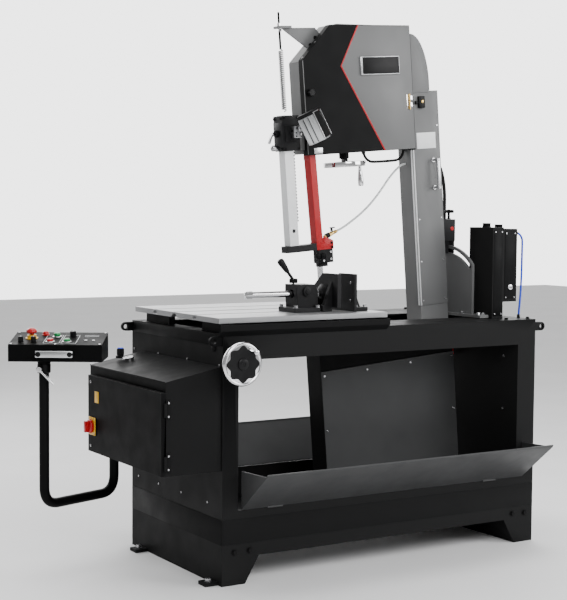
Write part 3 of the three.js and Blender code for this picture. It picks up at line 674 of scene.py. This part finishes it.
def interlock_switch():
    block("interlock_case", [(428, 456, 257, 269.8, 707, 751)], "column_cover", "black_plastic",
          PLASTIC, SAW, radius=2.5)
    block("interlock_tongue", [(416, 430, 261, 266, 725, 731), (414, 419, 258, 268, 722, 734)],
          "column_cover", "black_plastic", PLASTIC, SAW, radius=1)
    turned("interlock_contact", [(0, 6), (1.6, 6), (2.4, 4)], (443, 257, 731), FRONT,
           "column_cover", "brass", BRASS, SAW, 24)


def door_seams():
    """The folded lip along the door's left edge, painted grey as a highlight where light catches the fold,
    and the shadow gap beside it.
    """
    # A grey strip on the black door's fold: a painted highlight.
    block("head_door_lip_painted_highlight", [(-70.2, -68.8, 269, 272, 560, 894)], "head_door", "grey_paint", GREY, SAW,
          radius=0.4)
    bm = bmesh.new()
    for s, t in ((-62, 903), (-5, 958), (46, 1006)):
        socket_screw(bm, (s, 282, t), (-0.69, 0, 0.72), 3.5, 3.5)
    solid("head_screws", bm, "saw_frame", "bright_steel", STEEL, SAW)


def head_shoulder():
    """The rounded fixed shoulder to the right of the door, flush with the door's face."""
    arch = []
    for i in range(25):
        a = math.radians(90 * i / 24)
        arch.append((411 + 77 * math.sin(a), 800 + 182 * math.cos(a)))
    arch.append((488, 771.5))
    plate("head_shoulder_face", [(411, 764.4), (484, 764.4), (484, 771.5)] + arch[::-1], 270.4, 300.2,
          "saw_frame", "grey_paint", GREY, radius=0.8)
    plate("head_shoulder_rim", strip(arch, 4), 271, 364.6, "saw_frame", "grey_paint", GREY, radius=0.5)


head_shoulder()
blank_badge()
head_door_knob()
head_hinge()
interlock_switch()
door_seams()

# The counterbalance bracket's two screws into the head.
bolts("bracket_screws", [(18, 316, 978), (-4, 316, 952)], FRONT, "saw_frame",
      SATIN_BLACK, SAW, across=10, height=6)


# ---- Column ----
COVER = [
    (398.3, -37.7), (526, -37.7), (526, 771), (483, 771), (483, 764), (411, 764), (411, 553), (398.3, 553),
]
plate("column_cover_sheet", COVER, 270, 273, "column_cover", "grey_paint", GREY,
      radius=0.6, node="column_cover")
# Pale strips on the rounded edges of the grey cover and the grey column: painted highlights where light
# catches the folds.
block("column_cover_fold_painted_highlight", [(397.6, 400.4, 267.8, 274, -37, 552)], "column_cover", "bright_steel",
      PALE, SAW, radius=0.6)
block("column_front_edge_painted_highlight", [(395.4, 398.2, 278, 284, -37, 552)], "saw_frame", "bright_steel", PALE, SAW,
      radius=0.6)
block("column_blank_label", [(417, 505, 268.6, 270.2, 555, 615)], "column_cover", "white_paint",
      WHITE_PLASTIC, SAW, radius=0.4)


def column_handle():
    """A square-cornered bar handle on two round feet, on the column's cover."""
    s, low, high, face, front = 489, 402, 514, 270, 234
    bar = [(s - 7, s + 7, front, front + 9, low - 2, high + 2)]
    legs = [(s - 6, s + 6, front + 4, face, t - 5, t + 5) for t in (low + 4, high - 4)]
    block("column_handle_bar", bar + legs, "column_cover", "bright_steel", ALUMINIUM, SAW, radius=2.2)
    bm = bmesh.new()
    for t in (low + 4, high - 4):
        add_turned(bm, [(0, 9.5), (3, 9.5), (4.5, 8)], (s, face, t), FRONT, 28)
        socket_screw(bm, (s, front, t), FRONT, 4, 2.5)
    solid("column_handle_feet", bm, "column_cover", "bright_steel", STEEL, SAW)


column_handle()
places = [(s, 270, t) for s in (410, 514) for t in (-20, 130, 290)]
places += [(514, 270, t) for t in (460, 640)]
screws("column_cover_screws", places, FRONT, "column_cover", STEEL, SAW, radius=3.6, height=2.4)
places = [(s, 267, t) for s in (-60, 130, 330, 526) for t in (-652, -246)]
places += [(s, 267, -450) for s in (-60, 526)]
screws("lower_cover_screws", places, FRONT, "saw_frame", STEEL, SAW, radius=4.2, height=2.6)


# ---- Tension handwheel and its crank ----
TENSION_WHEEL = Vector((137, 349.5, 513))


def add_deep_rim(bm, centre, middle, half_width, half_height):
    """A wheel rim whose section is a square with rounded corners."""
    loop = []
    for i in range(24):
        a = 2 * math.pi * i / 24
        across, along = math.cos(a), math.sin(a)
        swell = max(abs(across), abs(along)) ** 0.6
        loop.append((half_height * along / swell, middle + half_width * across / swell))
    add_ring(bm, loop, centre, UP, 72)


def tension_handwheel():
    bm = bmesh.new()
    add_deep_rim(bm, TENSION_WHEEL + Vector((0, 0, 3)), 74, 6, 10)
    for deg in (0, 120, 240):
        out = Vector((math.cos(math.radians(deg)), math.sin(math.radians(deg)), 0))
        spoke = [(10, 9), (30, 9), (52, 6), (72, 3)]
        path = [TENSION_WHEEL + out * reach + Vector((0, 0, rise)) for reach, rise in spoke]
        add_tube(bm, smooth_path(path, 5), 5.2, 12)
    add_turned(bm, [(-7, 11), (-5, 14), (22, 15), (24, 13)], TENSION_WHEEL, UP, 32)
    solid("tension_handwheel_rim", bm, "tension_wheel", "bright_steel", CHROME, SAW,
          node="tension_handwheel", angle=50)
    bm = bmesh.new()
    add_turned(bm, [(24, 17), (26, 18.5), (45, 18.5), (47, 16)], TENSION_WHEEL, UP, 32)
    add_turned(bm, [(24, 8), (287, 8)], TENSION_WHEEL, UP, 18)
    solid("tension_screw", bm, "tension_wheel", "bright_steel", SATIN_BLACK, SAW)


tension_handwheel()
turned(
    "tension_crank_grip", [(7.5, 4), (9, 6.5), (16, 6.5), (32, 8.4), (58, 10.8), (76, 10.6), (82, 8)],
    (206, 349.5, 513), DOWN, "tension_crank", "bright_steel", CHROME, SAW, 32,
    node="tension_crank", angle=50,
)


# ---- Counterbalance spring and rod ----
SPRING = (-128, SAW_PLANE)  # the rod's axis, as (s, y)


def spring():
    coils, steps, low, high, radius = 30, 18, 726, 934, 7.8
    s, y = SPRING
    path = [Vector((s, y, low - 8)), Vector((s + 7.6, y, low - 4))]
    for i in range(coils * steps + 1):
        a = 2 * math.pi * i / steps
        t = low + (high - low) * i / (coils * steps)
        path.append(Vector((s + radius * math.cos(a), y + radius * math.sin(a), t)))
    path.append(Vector((s + 2, y, high + 5)))
    bm = bmesh.new()
    add_tube(bm, path, 1.9, 8)
    solid("counter_spring_coils", bm, "saw_frame", "bright_steel", DARK_STEEL, SAW,
          node="counter_spring", angle=80)


def spring_rod():
    bm = bmesh.new()
    rod = [(938, 3.2), (941, 4)]
    for k in range(30):
        low = 1000 + k * 2.3
        rod += [(low, 4.1), (low + 1.1, 3.4)]
    add_turned(bm, rod + [(1070, 3)], (*SPRING, 0), UP, 18)
    solid("spring_rod_thread", bm, "saw_frame", "bright_steel", SATIN_BLACK, SAW, node="spring_rod",
          angle=50)
    bm = bmesh.new()
    for t, up in ((1020.3, 1), (1011.7, -1)):
        hex_bolt(bm, (*SPRING, t), (0, 0, up), 13, 9)
    solid("spring_rod_nuts", bm, "saw_frame", "bright_steel", CHROME, SAW)


spring()
spring_rod()


# ---- Console, its arm and its keys ----
def bent_path(points, radius):
    """Straight runs joined by even bends."""
    steps = 14
    stops = [Vector(p) for p in points]
    path = [stops[0]]
    for before, corner, after in zip(stops, stops[1:], stops[2:]):
        start = corner + (before - corner).normalized() * radius
        end = corner + (after - corner).normalized() * radius
        for i in range(steps + 1):
            u = i / steps
            path.append(start * (1 - u) ** 2 + corner * 2 * u * (1 - u) + end * u * u)
    return path + [stops[-1]]


def console_arm():
    bm = bmesh.new()
    route = bent_path([(-440, 450, 721), (-440, 450, 237), (-136, 551, 237), (-136, 551, 373)], 62)
    add_tube(bm, route, 17, 32)
    add_turned(bm, [(0, 24), (2, 26), (13.7, 26)], (-136, 551, 371), UP)
    solid("console_arm_tube", bm, "console_arm", "black_paint", SATIN_BLACK, node="console_arm", angle=50)
    bm = bmesh.new()
    add_turned(bm, [(-46, 20), (-44, 22.5), (-16, 22.5), (-14, 20)], (0, 0, 0), UP)
    add_box(bm, -17, -5, -30, -14, -44, -18)
    solid("console_collar", bm, "console_arm", "black_plastic", PLASTIC, DESK)
    bm = bmesh.new()
    add_turned(bm, [(0, 9), (1.5, 10), (8, 10), (9.5, 8)], (-11, -29, -31), FRONT, 28)
    add_turned(bm, [(9, 4.5), (12, 4.2)], (-11, -29, -31), FRONT, 20)
    lever = [(-11, -34, -31), (3, -35, -45), (22, -38, -64), (38, -40, -81)]
    add_tube(bm, smooth_path(lever, 4), 4.2, 16)
    solid("console_clamp_lever", bm, "console_arm", "bright_steel", CHROME, DESK)


def console_handle():
    bar = [(-10, 114, -119, -110, 17, 39)]
    legs = [(u - 6, u + 6, -112, -85, 22, 34) for u in (2, 102)]
    block("console_handle_bar", bar + legs, "console", "bright_steel", ALUMINIUM, DESK, radius=3.5)
    bm = bmesh.new()
    for u in (0, 104):
        add_turned(bm, [(0, 8.5), (1.2, 8.5), (2, 7)], (u, -118.6, 28), FRONT, 28)
        socket_screw(bm, (u, -120, 28), FRONT, 4.6, 2.4)
    solid("console_handle_caps", bm, "console", "black_plastic", PLASTIC, DESK)


def panel_ring(name, loop, x, y, material):
    bm = bmesh.new()
    add_ring(bm, loop, (x, y, 0), UP, 48)
    solid(name, bm, "console", "black_plastic", material, KEYS)


def push_button(name, node, x, y, height, material, slot):
    """A domed cap in a turned steel bezel."""
    radius = 11
    cap = [(3.6, radius - 1), (4, radius), (height - 2, radius), (height - 0.6, radius - 1.4),
           (height, radius - 4)]
    turned(name + "_cap", cap, (x, y, 0), UP, body_of_node(node), slot, material, KEYS, 36,
           node=node, angle=50)
    inside, outside = radius + 0.8, radius + 4
    loop = [(0, inside), (0, outside), (1.8, outside), (3, radius + 2.6), (3.2, inside)]
    panel_ring(name + "_bezel", loop, x, y, STEEL)


def turn_knob(name, node, x, y, radius):
    """A black knob with finger flutes and a pale pointer line."""
    height = 20
    bm = bmesh.new()
    add_turned(bm, [(1.2, radius), (4, radius), (4.6, radius * 0.86)], (x, y, 0), UP)
    add_turned(bm, [(4.6, radius * 0.9), (height - 1.4, radius * 0.86), (height, radius * 0.7)],
               (x, y, 0), UP, 96, 12, 0.1)
    body = body_of_node(node)
    solid(name + "_grip", bm, body, "black_plastic", PLASTIC, KEYS, node=node)
    block(name + "_pointer", [(x - 0.8, x + 0.8, y + 1, y + radius * 0.66, height - 0.4, height + 0.3)],
          body, "white_paint", WHITE_PLASTIC, KEYS, radius=0.15)


def frame_line(left, right):
    """Four raised strips round a group of keys on the panel."""
    near, far, width, low, high = 20, 130, 1.3, -0.1, 0.5
    return [
        (left, right, near, near + width, low, high), (left, right, far - width, far, low, high),
        (left, left + width, near, far, low, high), (right - width, right, near, far, low, high),
    ]


def console_panel():
    push_button("start", "start_button", 146, 110, 14, GREEN_PLASTIC, "green_plastic")
    push_button("stop", "stop_button", 133, 42, 11, RED_PLASTIC, "red_plastic")
    push_button("feed", "feed_button", 189, 42, 11, GREEN_PLASTIC, "green_plastic")
    turn_knob("selector", "selector_switch", 200, 110, 12)
    turn_knob("speed", "speed_knob", 36, 34, 10)
    turn_knob("pressure", "pressure_knob", 79, 34, 10)
    turned("estop_head", [(14, 8), (19, 8), (20, 16.5), (22, 18), (27, 17.6), (32, 14), (35.2, 7), (36, 2)],
           (64, 88, 0), UP, "estop", "red_plastic", RED_PLASTIC, KEYS, 48,
           node="estop_button", angle=60)
    collar = [(0, 9.4), (0, 21), (1.5, 21), (2.2, 16), (11, 15), (12.4, 13), (12.4, 9.4)]
    panel_ring("estop_collar", collar, 64, 88, YELLOW_PLASTIC)
    turned("signal_lamp", [(0, 13), (3.4, 13), (4.2, 11), (9, 10.4), (12.5, 7), (13.6, 2)], (104, 133, 0),
           UP, "console", "red_plastic", RED_PLASTIC, KEYS, angle=60)
    lines = frame_line(112, 166) + frame_line(171, 222)
    lines += [(238, 286, 126 - 6 * k, 127.2 - 6 * k, -0.1, 0.5) for k in range(3)]
    block("console_panel_lines", lines, "console", "white_paint", WHITE_PLASTIC, KEYS, radius=0.1)
    for name, x in (("left_vent", 250), ("right_vent", 276)):
        turned(name, [(0, 5), (1.4, 5), (2, 4)], (x, 60, 0), UP, "console", "bright_steel", STEEL,
               KEYS, 20)
    corners = [(8, 8, 0), (303, 8, 0), (8, 163, 0), (303, 163, 0), (155, 8, 0)]
    screws("console_lid_screws", corners, UP, "console", CHROME, KEYS,
           radius=3.8, height=2)


console_arm()
console_handle()
console_panel()


# ---- Electrical cabinet ----
def main_switch():
    block("main_switch_plate", [(-230.4, -226.2, 505, 563, 449, 512)], "cabinet_door", "black_plastic",
          YELLOW_PLASTIC, radius=2)
    bm = bmesh.new()
    add_turned(bm, [(0.3, 24), (2, 25), (10, 25), (12, 23), (13.5, 12)], (-230.5, 534, 480), LEFT, 48,
               12, 0.05)
    add_box(bm, -257.5, -240, 528, 540, 460, 500)
    round_edges(bm, 1.2)
    solid("main_switch_handle", bm, "main_switch", "red_plastic", RED_PLASTIC, node="main_switch_knob")
    places = [(-230.4, y, z) for y in (511, 557) for z in (455, 506)]
    screws("main_switch_screws", places, LEFT, "cabinet_door", STEEL,
           radius=2.4, height=1.4)


def cabinet_trim():
    block("cabinet_blank_tag", [(-227.2, -225.8, 482, 514, 566, 606)], "cabinet_door", "black_plastic",
          YELLOW_PLASTIC, radius=0.4)
    leaves = [(-205, -186, 3.5, 8.6, z - 30, z + 30) for z in (430, 602)]
    block("cabinet_hinge_leaves", leaves, "base", "black_paint", SATIN_BLACK, radius=1.2)
    places = [(-195.5, 3.6, z + k) for z in (430, 602) for k in (-22, 22)]
    screws("cabinet_hinge_screws", places, FRONT, "base", radius=3.4, height=2.2)
    locks = [(-226, 548, z) for z in (410, 636)]
    screws("cabinet_locks", locks, LEFT, "cabinet_door", radius=5, height=2.4)
    bm = bmesh.new()
    add_box(bm, -207.4, -204.4, 9, 601, 688, 692)
    round_edges(bm, 0.8)
    solid("cabinet_eave_fold", bm, "base", "black_paint", SATIN_BLACK)


def regulator():
    """Pressure regulator with a ribbed black knob, and a glass gauge lying beside it."""
    bm = bmesh.new()
    add_turned(bm, [(0, 15), (2, 17), (8, 17), (10, 13)], (-114, 545, 714), UP, 36)
    add_turned(bm, [(10, 11), (12, 13), (30, 13), (34, 12)], (-114, 545, 714), UP, 96, 16, 0.09)
    solid("regulator_knob", bm, "base", "black_plastic", PLASTIC, node="pressure_regulator")
    turned("regulator_cap", [(34, 11.4), (37, 10.6), (38, 8)], (-114, 545, 714), UP, "base",
           "blue_hose", BLUE, sides=36)
    roof = (-0.19, 0, 0.98)
    turned("gauge_case", [(-4, 20), (6, 20), (8, 21.5), (11, 21.5), (12, 19.5)], (-104, 500, 710), roof,
           "base", "bright_steel", CHROME, sides=48)
    turned("gauge_dial", [(11.2, 19), (12.6, 18.6)], (-104, 500, 710), roof, "base", "white_paint",
           WHITE_PLASTIC, sides=48)
    bm = bmesh.new()
    add_box(bm, -105, -103, 500, 514, 722.4, 723.6)
    solid("gauge_needle", bm, "base", "black_plastic", PLASTIC)


main_switch()
cabinet_trim()
regulator()


# ---- Front handwheel ----
def feed_handwheel():
    centre, front = (30, -74, 745), FRONT
    bm = bmesh.new()
    loop = []
    for i in range(16):
        a = 2 * math.pi * i / 16
        loop.append((9 * math.sin(a), 65.5 + 7 * math.cos(a)))
    add_ring(bm, loop, centre, front, 96)
    add_turned(bm, [(2, 60), (5.2, 61.5), (6.4, 61.5), (7, 58)], centre, front, 64)
    solid("feed_wheel_rim", bm, "feed_wheel", "bright_steel", CHROME, node="feed_handwheel", angle=50)
    bm = bmesh.new()
    add_turned(bm, [(-6, 59), (7.6, 61), (9, 59.6), (8.6, 52), (7.2, 30)], centre, front, 128, 8, 0.16)
    add_turned(bm, [(-39.5, 22), (-2, 23)], centre, front, 40)
    add_turned(bm, [(6, 20), (10.4, 19), (12, 16.4), (12, 7), (10.6, 6)], centre, front, 40)
    solid("feed_wheel_dish", bm, "feed_wheel", "black_paint", PLASTIC)
    turned("feed_wheel_grip", [(0.3, 5), (1.6, 8.4), (10, 7.6), (24, 9), (36, 9), (38.6, 6.6)],
           (60, -83, 785), front, "feed_grip", "black_plastic", CHROME, sides=36,
           node="feed_grip", angle=50)


feed_handwheel()


# ---- Work lamp ----
LAMP = WORLD @ Matrix((
    (0.411, 0.482, -0.776, 469),
    (-0.166, -0.796, -0.582, 190),
    (-0.897, 0.367, -0.247, 1539.5),
    (0, 0, 0, 1),
))


def work_lamp():
    """An extruded aluminium lamp with a black side panel, a black back cap and a lens."""
    core = [(-41, 55, -34, 29, -37, 36.4)]
    ribs = [(-39, 54.4, y, y + 15, 35, 38) for y in (-31.5, -12, 7.5)]
    block("lamp_body", core + ribs, "lamp", "bright_steel", ALUMINIUM, LAMP, radius=2,
          node="work_lamp")
    # Black strips laid in the gaps between the aluminium ribs: painted shade in the grooves.
    grooves = [(-38, 54, y, y + 3, 35, 37.2) for y in (-15.6, 4)]
    block("lamp_groove_painted_shade", grooves, "lamp", "black_plastic", SATIN_BLACK, LAMP, radius=0.4)
    block("lamp_back_cap", [(-55, -40, -33.4, 33.4, -37.4, 37.4)], "lamp", "black_plastic", PLASTIC, LAMP,
          radius=6)
    block("lamp_side_panel", [(-46, 52, 28, 33, -34, 34)], "lamp", "black_plastic", SATIN_BLACK, LAMP,
          radius=1.5)
    rim = [(-48, 54, 31, 34, z, z + 3) for z in (-36, 33)]
    rim += [(x, x + 3, 31, 34, -36, 36) for x in (-48, 51)]
    block("lamp_panel_rim", rim, "lamp", "bright_steel", CHROME, LAMP, radius=1)
    block("lamp_lens", [(54, 56.5, -29, 26, -32, 32)], "lamp", "white_paint", CLEAR, LAMP, radius=1.5)


def lamp_swivel():
    block("lamp_base_block", [(-128, -98, 258, 283.5, 622, 664)], "saw_frame", "bright_steel",
          ALUMINIUM, SAW, radius=3)
    bm = bmesh.new()
    add_turned(bm, [(0, 12), (2, 13), (22, 13), (24, 11)], (-113, 258, 655), FRONT, 32)
    add_tube(bm, smooth_path([(-113, 245, 650), (-104, 232, 652), (-97, 219, 656)], 4), 9, 20)
    solid("lamp_knuckle", bm, "lamp", "bright_steel", STEEL, SAW)
    places = [(s, 258, t) for s in (-123, -103) for t in (627, 640)]
    screws("lamp_block_screws", places, FRONT, "saw_frame", SATIN_BLACK, SAW,
           radius=2.6, height=1.8)


work_lamp()
lamp_swivel()
block("door_small_plate", [(-44, -8, 268.4, 270.2, 562, 582)], "head_door", "bright_steel", ALUMINIUM, SAW,
      radius=0.4)


# ---- Guide clamp, lever and knob ----
def guide_clamp_trim():
    corners = [(-158, y, t) for y in (298, 344) for t in (587, 693)]
    screws("clamp_corner_screws", corners, LEFT, "saw_frame", SATIN_BLACK, SAW,
           radius=5.5, height=4)
    screws("clamp_face_screws", [(s, 290, t) for s in (-151, -95) for t in (585, 695)],
           FRONT, "saw_frame", SATIN_BLACK, SAW, radius=4.2, height=3)
    block("clamp_side_plate", [(-161, -157.5, 292, 350, 600, 680)], "saw_frame", "black_casting", CAST, SAW,
          radius=1)


def lock_lever():
    bm = bmesh.new()
    add_turned(bm, [(3.2, 12), (5, 13), (14, 13), (16, 11)], (-158, SAW_PLANE, 640), LEFT, 36)
    solid("lock_lever_hub", bm, "lock_lever", "bright_steel", SATIN_BLACK, SAW)
    bm = bmesh.new()
    lever = [(-170, 320, 640), (-182, 316, 642), (-192, 310, 638), (-203, 303, 626), (-215, 295.5, 609)]
    add_tube(bm, smooth_path(lever, 3), 5.5, 18)
    bmesh.ops.create_uvsphere(bm, u_segments=20, v_segments=12, radius=7,
                              matrix=Matrix.Translation((-191, 311, 638)))
    solid("lock_lever_arm", bm, "lock_lever", "bright_steel", CHROME, SAW, node="guide_lock_lever",
          angle=50)
    turned("hand_knob_grip", [(3.2, 7), (6, 7), (8, 10.4), (28, 11), (32, 9.6), (34, 5)],
           (-158, SAW_PLANE, 590), LEFT, "hand_knob", "bright_steel", STEEL, SAW, 36,
           node="guide_hand_knob", angle=60)


guide_clamp_trim()
lock_lever()


# ---- Blade guard's foot, coolant valve and lower guide ----
def guard_foot():
    flare = [(-38, 212.4), (34.5, 212.4), (34.5, 243), (22, 250), (-8.4, 262), (-9.6, 240), (-38, 240)]
    for name, near in (("guard_foot_front", 298.8), ("guard_foot_rear", 340.6)):
        plate(name, flare, near, near + 2.4, "guide_arm", "red_paint", RED, radius=0.8)
    block("guard_foot_side", [(32.4, 34.9, 299, 343, 212.4, 243)], "guide_arm", "red_paint", RED, SAW,
          radius=0.8)
    screws("guard_foot_screws", [(27, 298.8, t) for t in (219, 235)], FRONT,
           "guide_arm", SATIN_BLACK, SAW, radius=4, height=3)
    bm = bmesh.new()
    for s in (-37, -13):
        add_turned(bm, [(0, 9), (1, 10.5), (9, 10.5), (10, 9)], (s, 303, 190), FRONT, 32)
    add_turned(bm, [(0, 12), (1, 13), (11, 13), (12, 12)], (-17, 303, 172), FRONT, 32)
    solid("guide_bearings", bm, "guide_arm", "bright_steel", SATIN_BLACK, SAW)
    turned("guide_bearing_hub", [(0, 5), (2, 5), (3, 3.6)], (-17, 291, 172), FRONT, "guide_arm",
           "bright_steel", STEEL, SAW, 28)
    screws("guide_block_screws", [(22, 303, 176), (22, 303, 202)], FRONT, "guide_arm",
           STEEL, SAW, radius=4.5, height=3.5)


def guide_rack():
    """A dark toothed strip on the guide tube's right side."""
    start, end, pitch = 323, 699, 11.75
    teeth = [(-112.6, end + 0.4), (-112.6, start - 0.4), (-103.6, start - 0.4)]
    for k in range(int((end - start) / pitch)):
        t = start + pitch * k
        teeth += [(-101.6, t), (-101.6, t + 4.4), (-105.6, t + 6.2), (-105.6, t + 9.6)]
    plate("guide_rack_strip", teeth + [(-101.6, end + 0.4)], 310.6, 331.4, "guide_arm", "black_casting",
          SATIN_BLACK, radius=0.2)


guide_rack()


def coolant_fittings():
    along = (0.952, 0, 0.306)
    start = Vector((10, SAW_PLANE, 256))
    bm = bmesh.new()
    add_turned(bm, [(0, 8), (1, 9.5), (17, 9.5), (18, 8)], start + Vector(along) * 6, along, 72, 18, 0.06)
    add_box(bm, 41, 47, 317, 325, 275, 288)
    add_box(bm, 38, 58, 317.5, 324.5, 286, 290)
    solid("coolant_valve_body", bm, "guide_arm", "black_plastic", PLASTIC, SAW)
    bm = bmesh.new()
    add_turned(bm, [(0, 8.4), (12, 8.4)], start + Vector(along) * 24, along, 6)
    barbs = [(36, 6.5)]
    for k in range(4):
        barbs += [(41 + 4 * k, 6.8), (44.9 + 4 * k, 5.2)]
    add_turned(bm, barbs, start, along, 28)
    solid("coolant_hose_barb", bm, "guide_arm", "brass", BRASS, SAW)


guard_foot()
coolant_fittings()


def glands(name, places, radius, body, place=WORLD):
    """Nuts with a dome where a cable or hose goes into a housing."""
    bm = bmesh.new()
    for centre, direction in places:
        add_turned(bm, [(0, radius * 1.7), (4, radius * 1.7)], centre, direction, 6)
        tip = Vector(centre) + Vector(direction).normalized() * 4
        dome = [(0, radius * 1.5), (5, radius * 1.45), (9, radius * 1.12)]
        add_turned(bm, dome, tip, direction, 28)
    solid(name, bm, body, "black_plastic", PLASTIC, place)


glands("tension_hose_glands", [((206, SAW_PLANE, 562), DOWN), ((390, SAW_PLANE, 562), DOWN)], 5,
       "saw_frame", SAW)
glands("column_cable_gland", [((1094, 352, 1442), (1, 0, -0.02))], 7, "saw_frame")
glands("carriage_cable_gland", [((1175, SAW_PLANE, 890), RIGHT)], 7, "carriage")
glands("air_line_glands", [((1313.5, 90, 1165), (1, 0, -0.1)), ((1336, 88, 842), UP)], 4, "base")


# ---- Vise ----
VISE_Y, VISE_Z = 146, 953  # the clamping bar's axis


def vise_details():
    turned("vise_bar_chrome", [(-13, 9), (-11, 13), (10, 14), (12, 11), (150, 11), (305, 11), (307, 9.6)],
           (180, VISE_Y, VISE_Z), RIGHT, "vise_slide", "bright_steel", CHROME, node="vise_bar", angle=50)
    turned("vise_swivel_pad", [(0, 15), (2, 20), (7, 30), (9, 32), (17.4, 32)],
           (470, VISE_Y, VISE_Z), RIGHT, "vise_slide", "black_casting", CAST, sides=48)
    turned("vise_screw_nut", [(0, 22), (2, 24), (16, 24), (18, 22)], (436, VISE_Y, VISE_Z), RIGHT, "base",
           "bright_steel", STEEL, sides=6)
    bm = bmesh.new()
    add_turned(bm, [(0.3, 13), (2, 15), (13, 15), (16, 12)], (362, 150, 990), UP, 36)
    solid("vise_lever_hub", bm, "vise_lever", "black_plastic", SATIN_BLACK)
    bm = bmesh.new()
    add_tube(bm, [Vector(p) for p in ((362, 150, 1000), (350, 150, 1015), (335, 150, 1033.8))], 5.4, 18)
    handle = [(0, 6.5), (3, 8), (24, 10.5), (44, 12.5), (52, 11), (55, 6)]
    add_turned(bm, handle, (339, 150, 1028.8), (-0.625, 0, 0.781), 36)
    solid("vise_lever_handle", bm, "vise_lever", "black_plastic", PLASTIC, node="vise_lever", angle=50)
    turned("vise_lock_button", [(0, 16), (2, 17), (7, 16), (9, 10), (12, 9), (13, 6)], (392, 110, 962),
           FRONT, "base", "black_casting", CAST, angle=50)
    places = [(x, y, 906) for x, y in ((343, 102), (432, 102), (343, 198), (432, 198))]
    places += [(x, y, 904) for x, y in ((619, 86), (619, 204), (580, 84), (580, 206))]
    bolts("vise_base_bolts", places, UP, "base", across=13, height=8)
    for name, x, direction, body in (
        ("moving_jaw_screws", 504, RIGHT, "vise_slide"), ("fixed_jaw_screws", 557, LEFT, "base"),
    ):
        places = [(x, 80, 930), (x, 210, 930), (x, 80, 990)]
        screws(name, places, direction, body, radius=5, height=1.2)


vise_details()


# ---- Tilt lock ----
def tilt_lock():
    bm = bmesh.new()
    add_turned(bm, [(0.3, 9), (3, 9), (4, 5), (28, 5)], (1176, SAW_PLANE, 1214), UP, 28)
    bar = [(-27, 4), (-25, 6), (-8, 6.4), (0, 8), (8, 6.4), (25, 6), (27, 4)]
    add_turned(bm, bar, (1176, SAW_PLANE, 1244), REAR, 28)
    solid("tilt_lock_handle", bm, "tilt_knob", "black_plastic", SATIN_BLACK, node="tilt_lock_knob",
          angle=50)
    turned("tilt_lock_dot", [(0, 8), (2, 8), (3.4, 6)], (1174, 297, 1178), FRONT, "saw_frame",
           "red_plastic", RED_PLASTIC, sides=32)
    places = [(1190, y, z) for y in (306, 336) for z in (1146, 1200)]
    screws("tilt_lock_screws", places, RIGHT, "saw_frame", radius=4.5, height=3)
    feet = [(x, y, 856) for x in (1158, 1184) for y in (112, 205, 436, 532)]
    bolts("quadrant_foot_bolts", feet, UP, "carriage", across=12, height=7)


tilt_lock()


# ---- Hydraulic unit ----
def hydraulic_details():
    panels = [(1203, 1245.5, 78, 80.5, 852, 1176), (1256, 1310, 78, 80.5, 914, 1170),
              (1315, 1317.5, 90, 180, 914, 1170)]
    block("hydraulic_panels", panels, "base", "black_paint", SATIN_BLACK, radius=1.4)
    bm = bmesh.new()
    for x, z in ((1224, 1185), (1283, 1180)):
        add_turned(bm, [(0, 17), (3, 17), (4, 14)], (x, 150, z), UP, 32)
        add_turned(bm, [(4, 14.5), (14, 14.5), (16, 12)], (x, 150, z), UP, 90, 18, 0.08)
    solid("hydraulic_caps", bm, "base", "black_plastic", PLASTIC)
    places = [(x, 78, z) for x in (1209, 1240) for z in (860, 1168)]
    places += [(x, 78, z) for x in (1262, 1304) for z in (921, 1163)]
    screws("hydraulic_screws", places, FRONT, "base", radius=3, height=1.8)
    turned("hydraulic_sight_glass", [(0, 11), (3, 11), (4.4, 9), (5, 6)], (1283, 78, 960), FRONT, "base",
           "bright_steel", CHROME, sides=36, angle=60)


hydraulic_details()


# ---- Base ----
BASE_RIGHT, DECK_TOP = 1344, 842
LOW_ROW, HIGH_ROW = 266, 733  # heights of the two rows of screws in the end panels


def base_details():
    front = [(2, BASE_RIGHT - 2, -1.4, 0.6, 137, 221)]
    block("plinth_front_panel", front, "base", "black_paint", BLACK, radius=0.7)
    ends = [(x, x + 2, 2, 686, 137, 221) for x in (-1.4, BASE_RIGHT - 0.6)]
    ends += [(x, x + 2, 2, 686, 796, 834) for x in (-1.4, BASE_RIGHT - 0.6)]
    block("end_panels", ends, "base", "black_paint", BLACK, radius=0.7)
    bolts("foot_bolts", [(46.5, 0, 111), (105, 0, 112), (1245, 0, 112.5), (1304, 0, 110)],
          FRONT, "base", SATIN_BLACK, across=15, height=7)
    left = [(0, y, LOW_ROW) for y in (100, 290, 465, 630)]
    left += [(0, y, HIGH_ROW) for y in (22, 250, 470, 668)]
    screws("left_end_screws", left, LEFT, "base", radius=3.6, height=2.4)
    right = [(BASE_RIGHT, y, z) for y in (100, 290, 465, 630) for z in (LOW_ROW, HIGH_ROW)]
    screws("right_end_screws", right, RIGHT, "base", radius=5, height=3)
    turned("rail_plug", [(0, 15), (1.2, 15), (2, 12)], (-1.4, 62, 790), LEFT, "base", "black_paint",
           SATIN_BLACK)
    turned("feed_boss", [(0, 30), (3, 30), (5, 24), (12, 22), (33, 20.6)], (30, 0, 745), FRONT, "base",
           "black_paint", SATIN_BLACK)
    anchors = [(-24, y, 12) for y in (50, 580)]
    bolts("anchor_bolts", anchors, UP, "base", across=19, height=10)
    inner = [(1260, y, z) for y in (80, 600) for z in (300, 500, 700)]
    screws("inner_wall_screws", inner, LEFT, "base", radius=4.5, height=2.5)
    deck = [(x, y, DECK_TOP) for x in (1226, 1330) for y in (30, 250, 440, 660)]
    bolts("deck_screws", deck, UP, "base", SATIN_BLACK, across=12, height=6)


def tray_details():
    for name, body, plane, direction in (
        ("front_tray_hinge_screws", "front_tray", -3.5, FRONT),
        ("rear_tray_hinge_screws", "rear_tray", 691.5, REAR),
    ):
        places = [(x + k, plane, 262) for x in (199, 1126) for k in (-20, 20)]
        screws(name, places, direction, body, radius=3.4, height=1.6)


base_details()
tray_details()
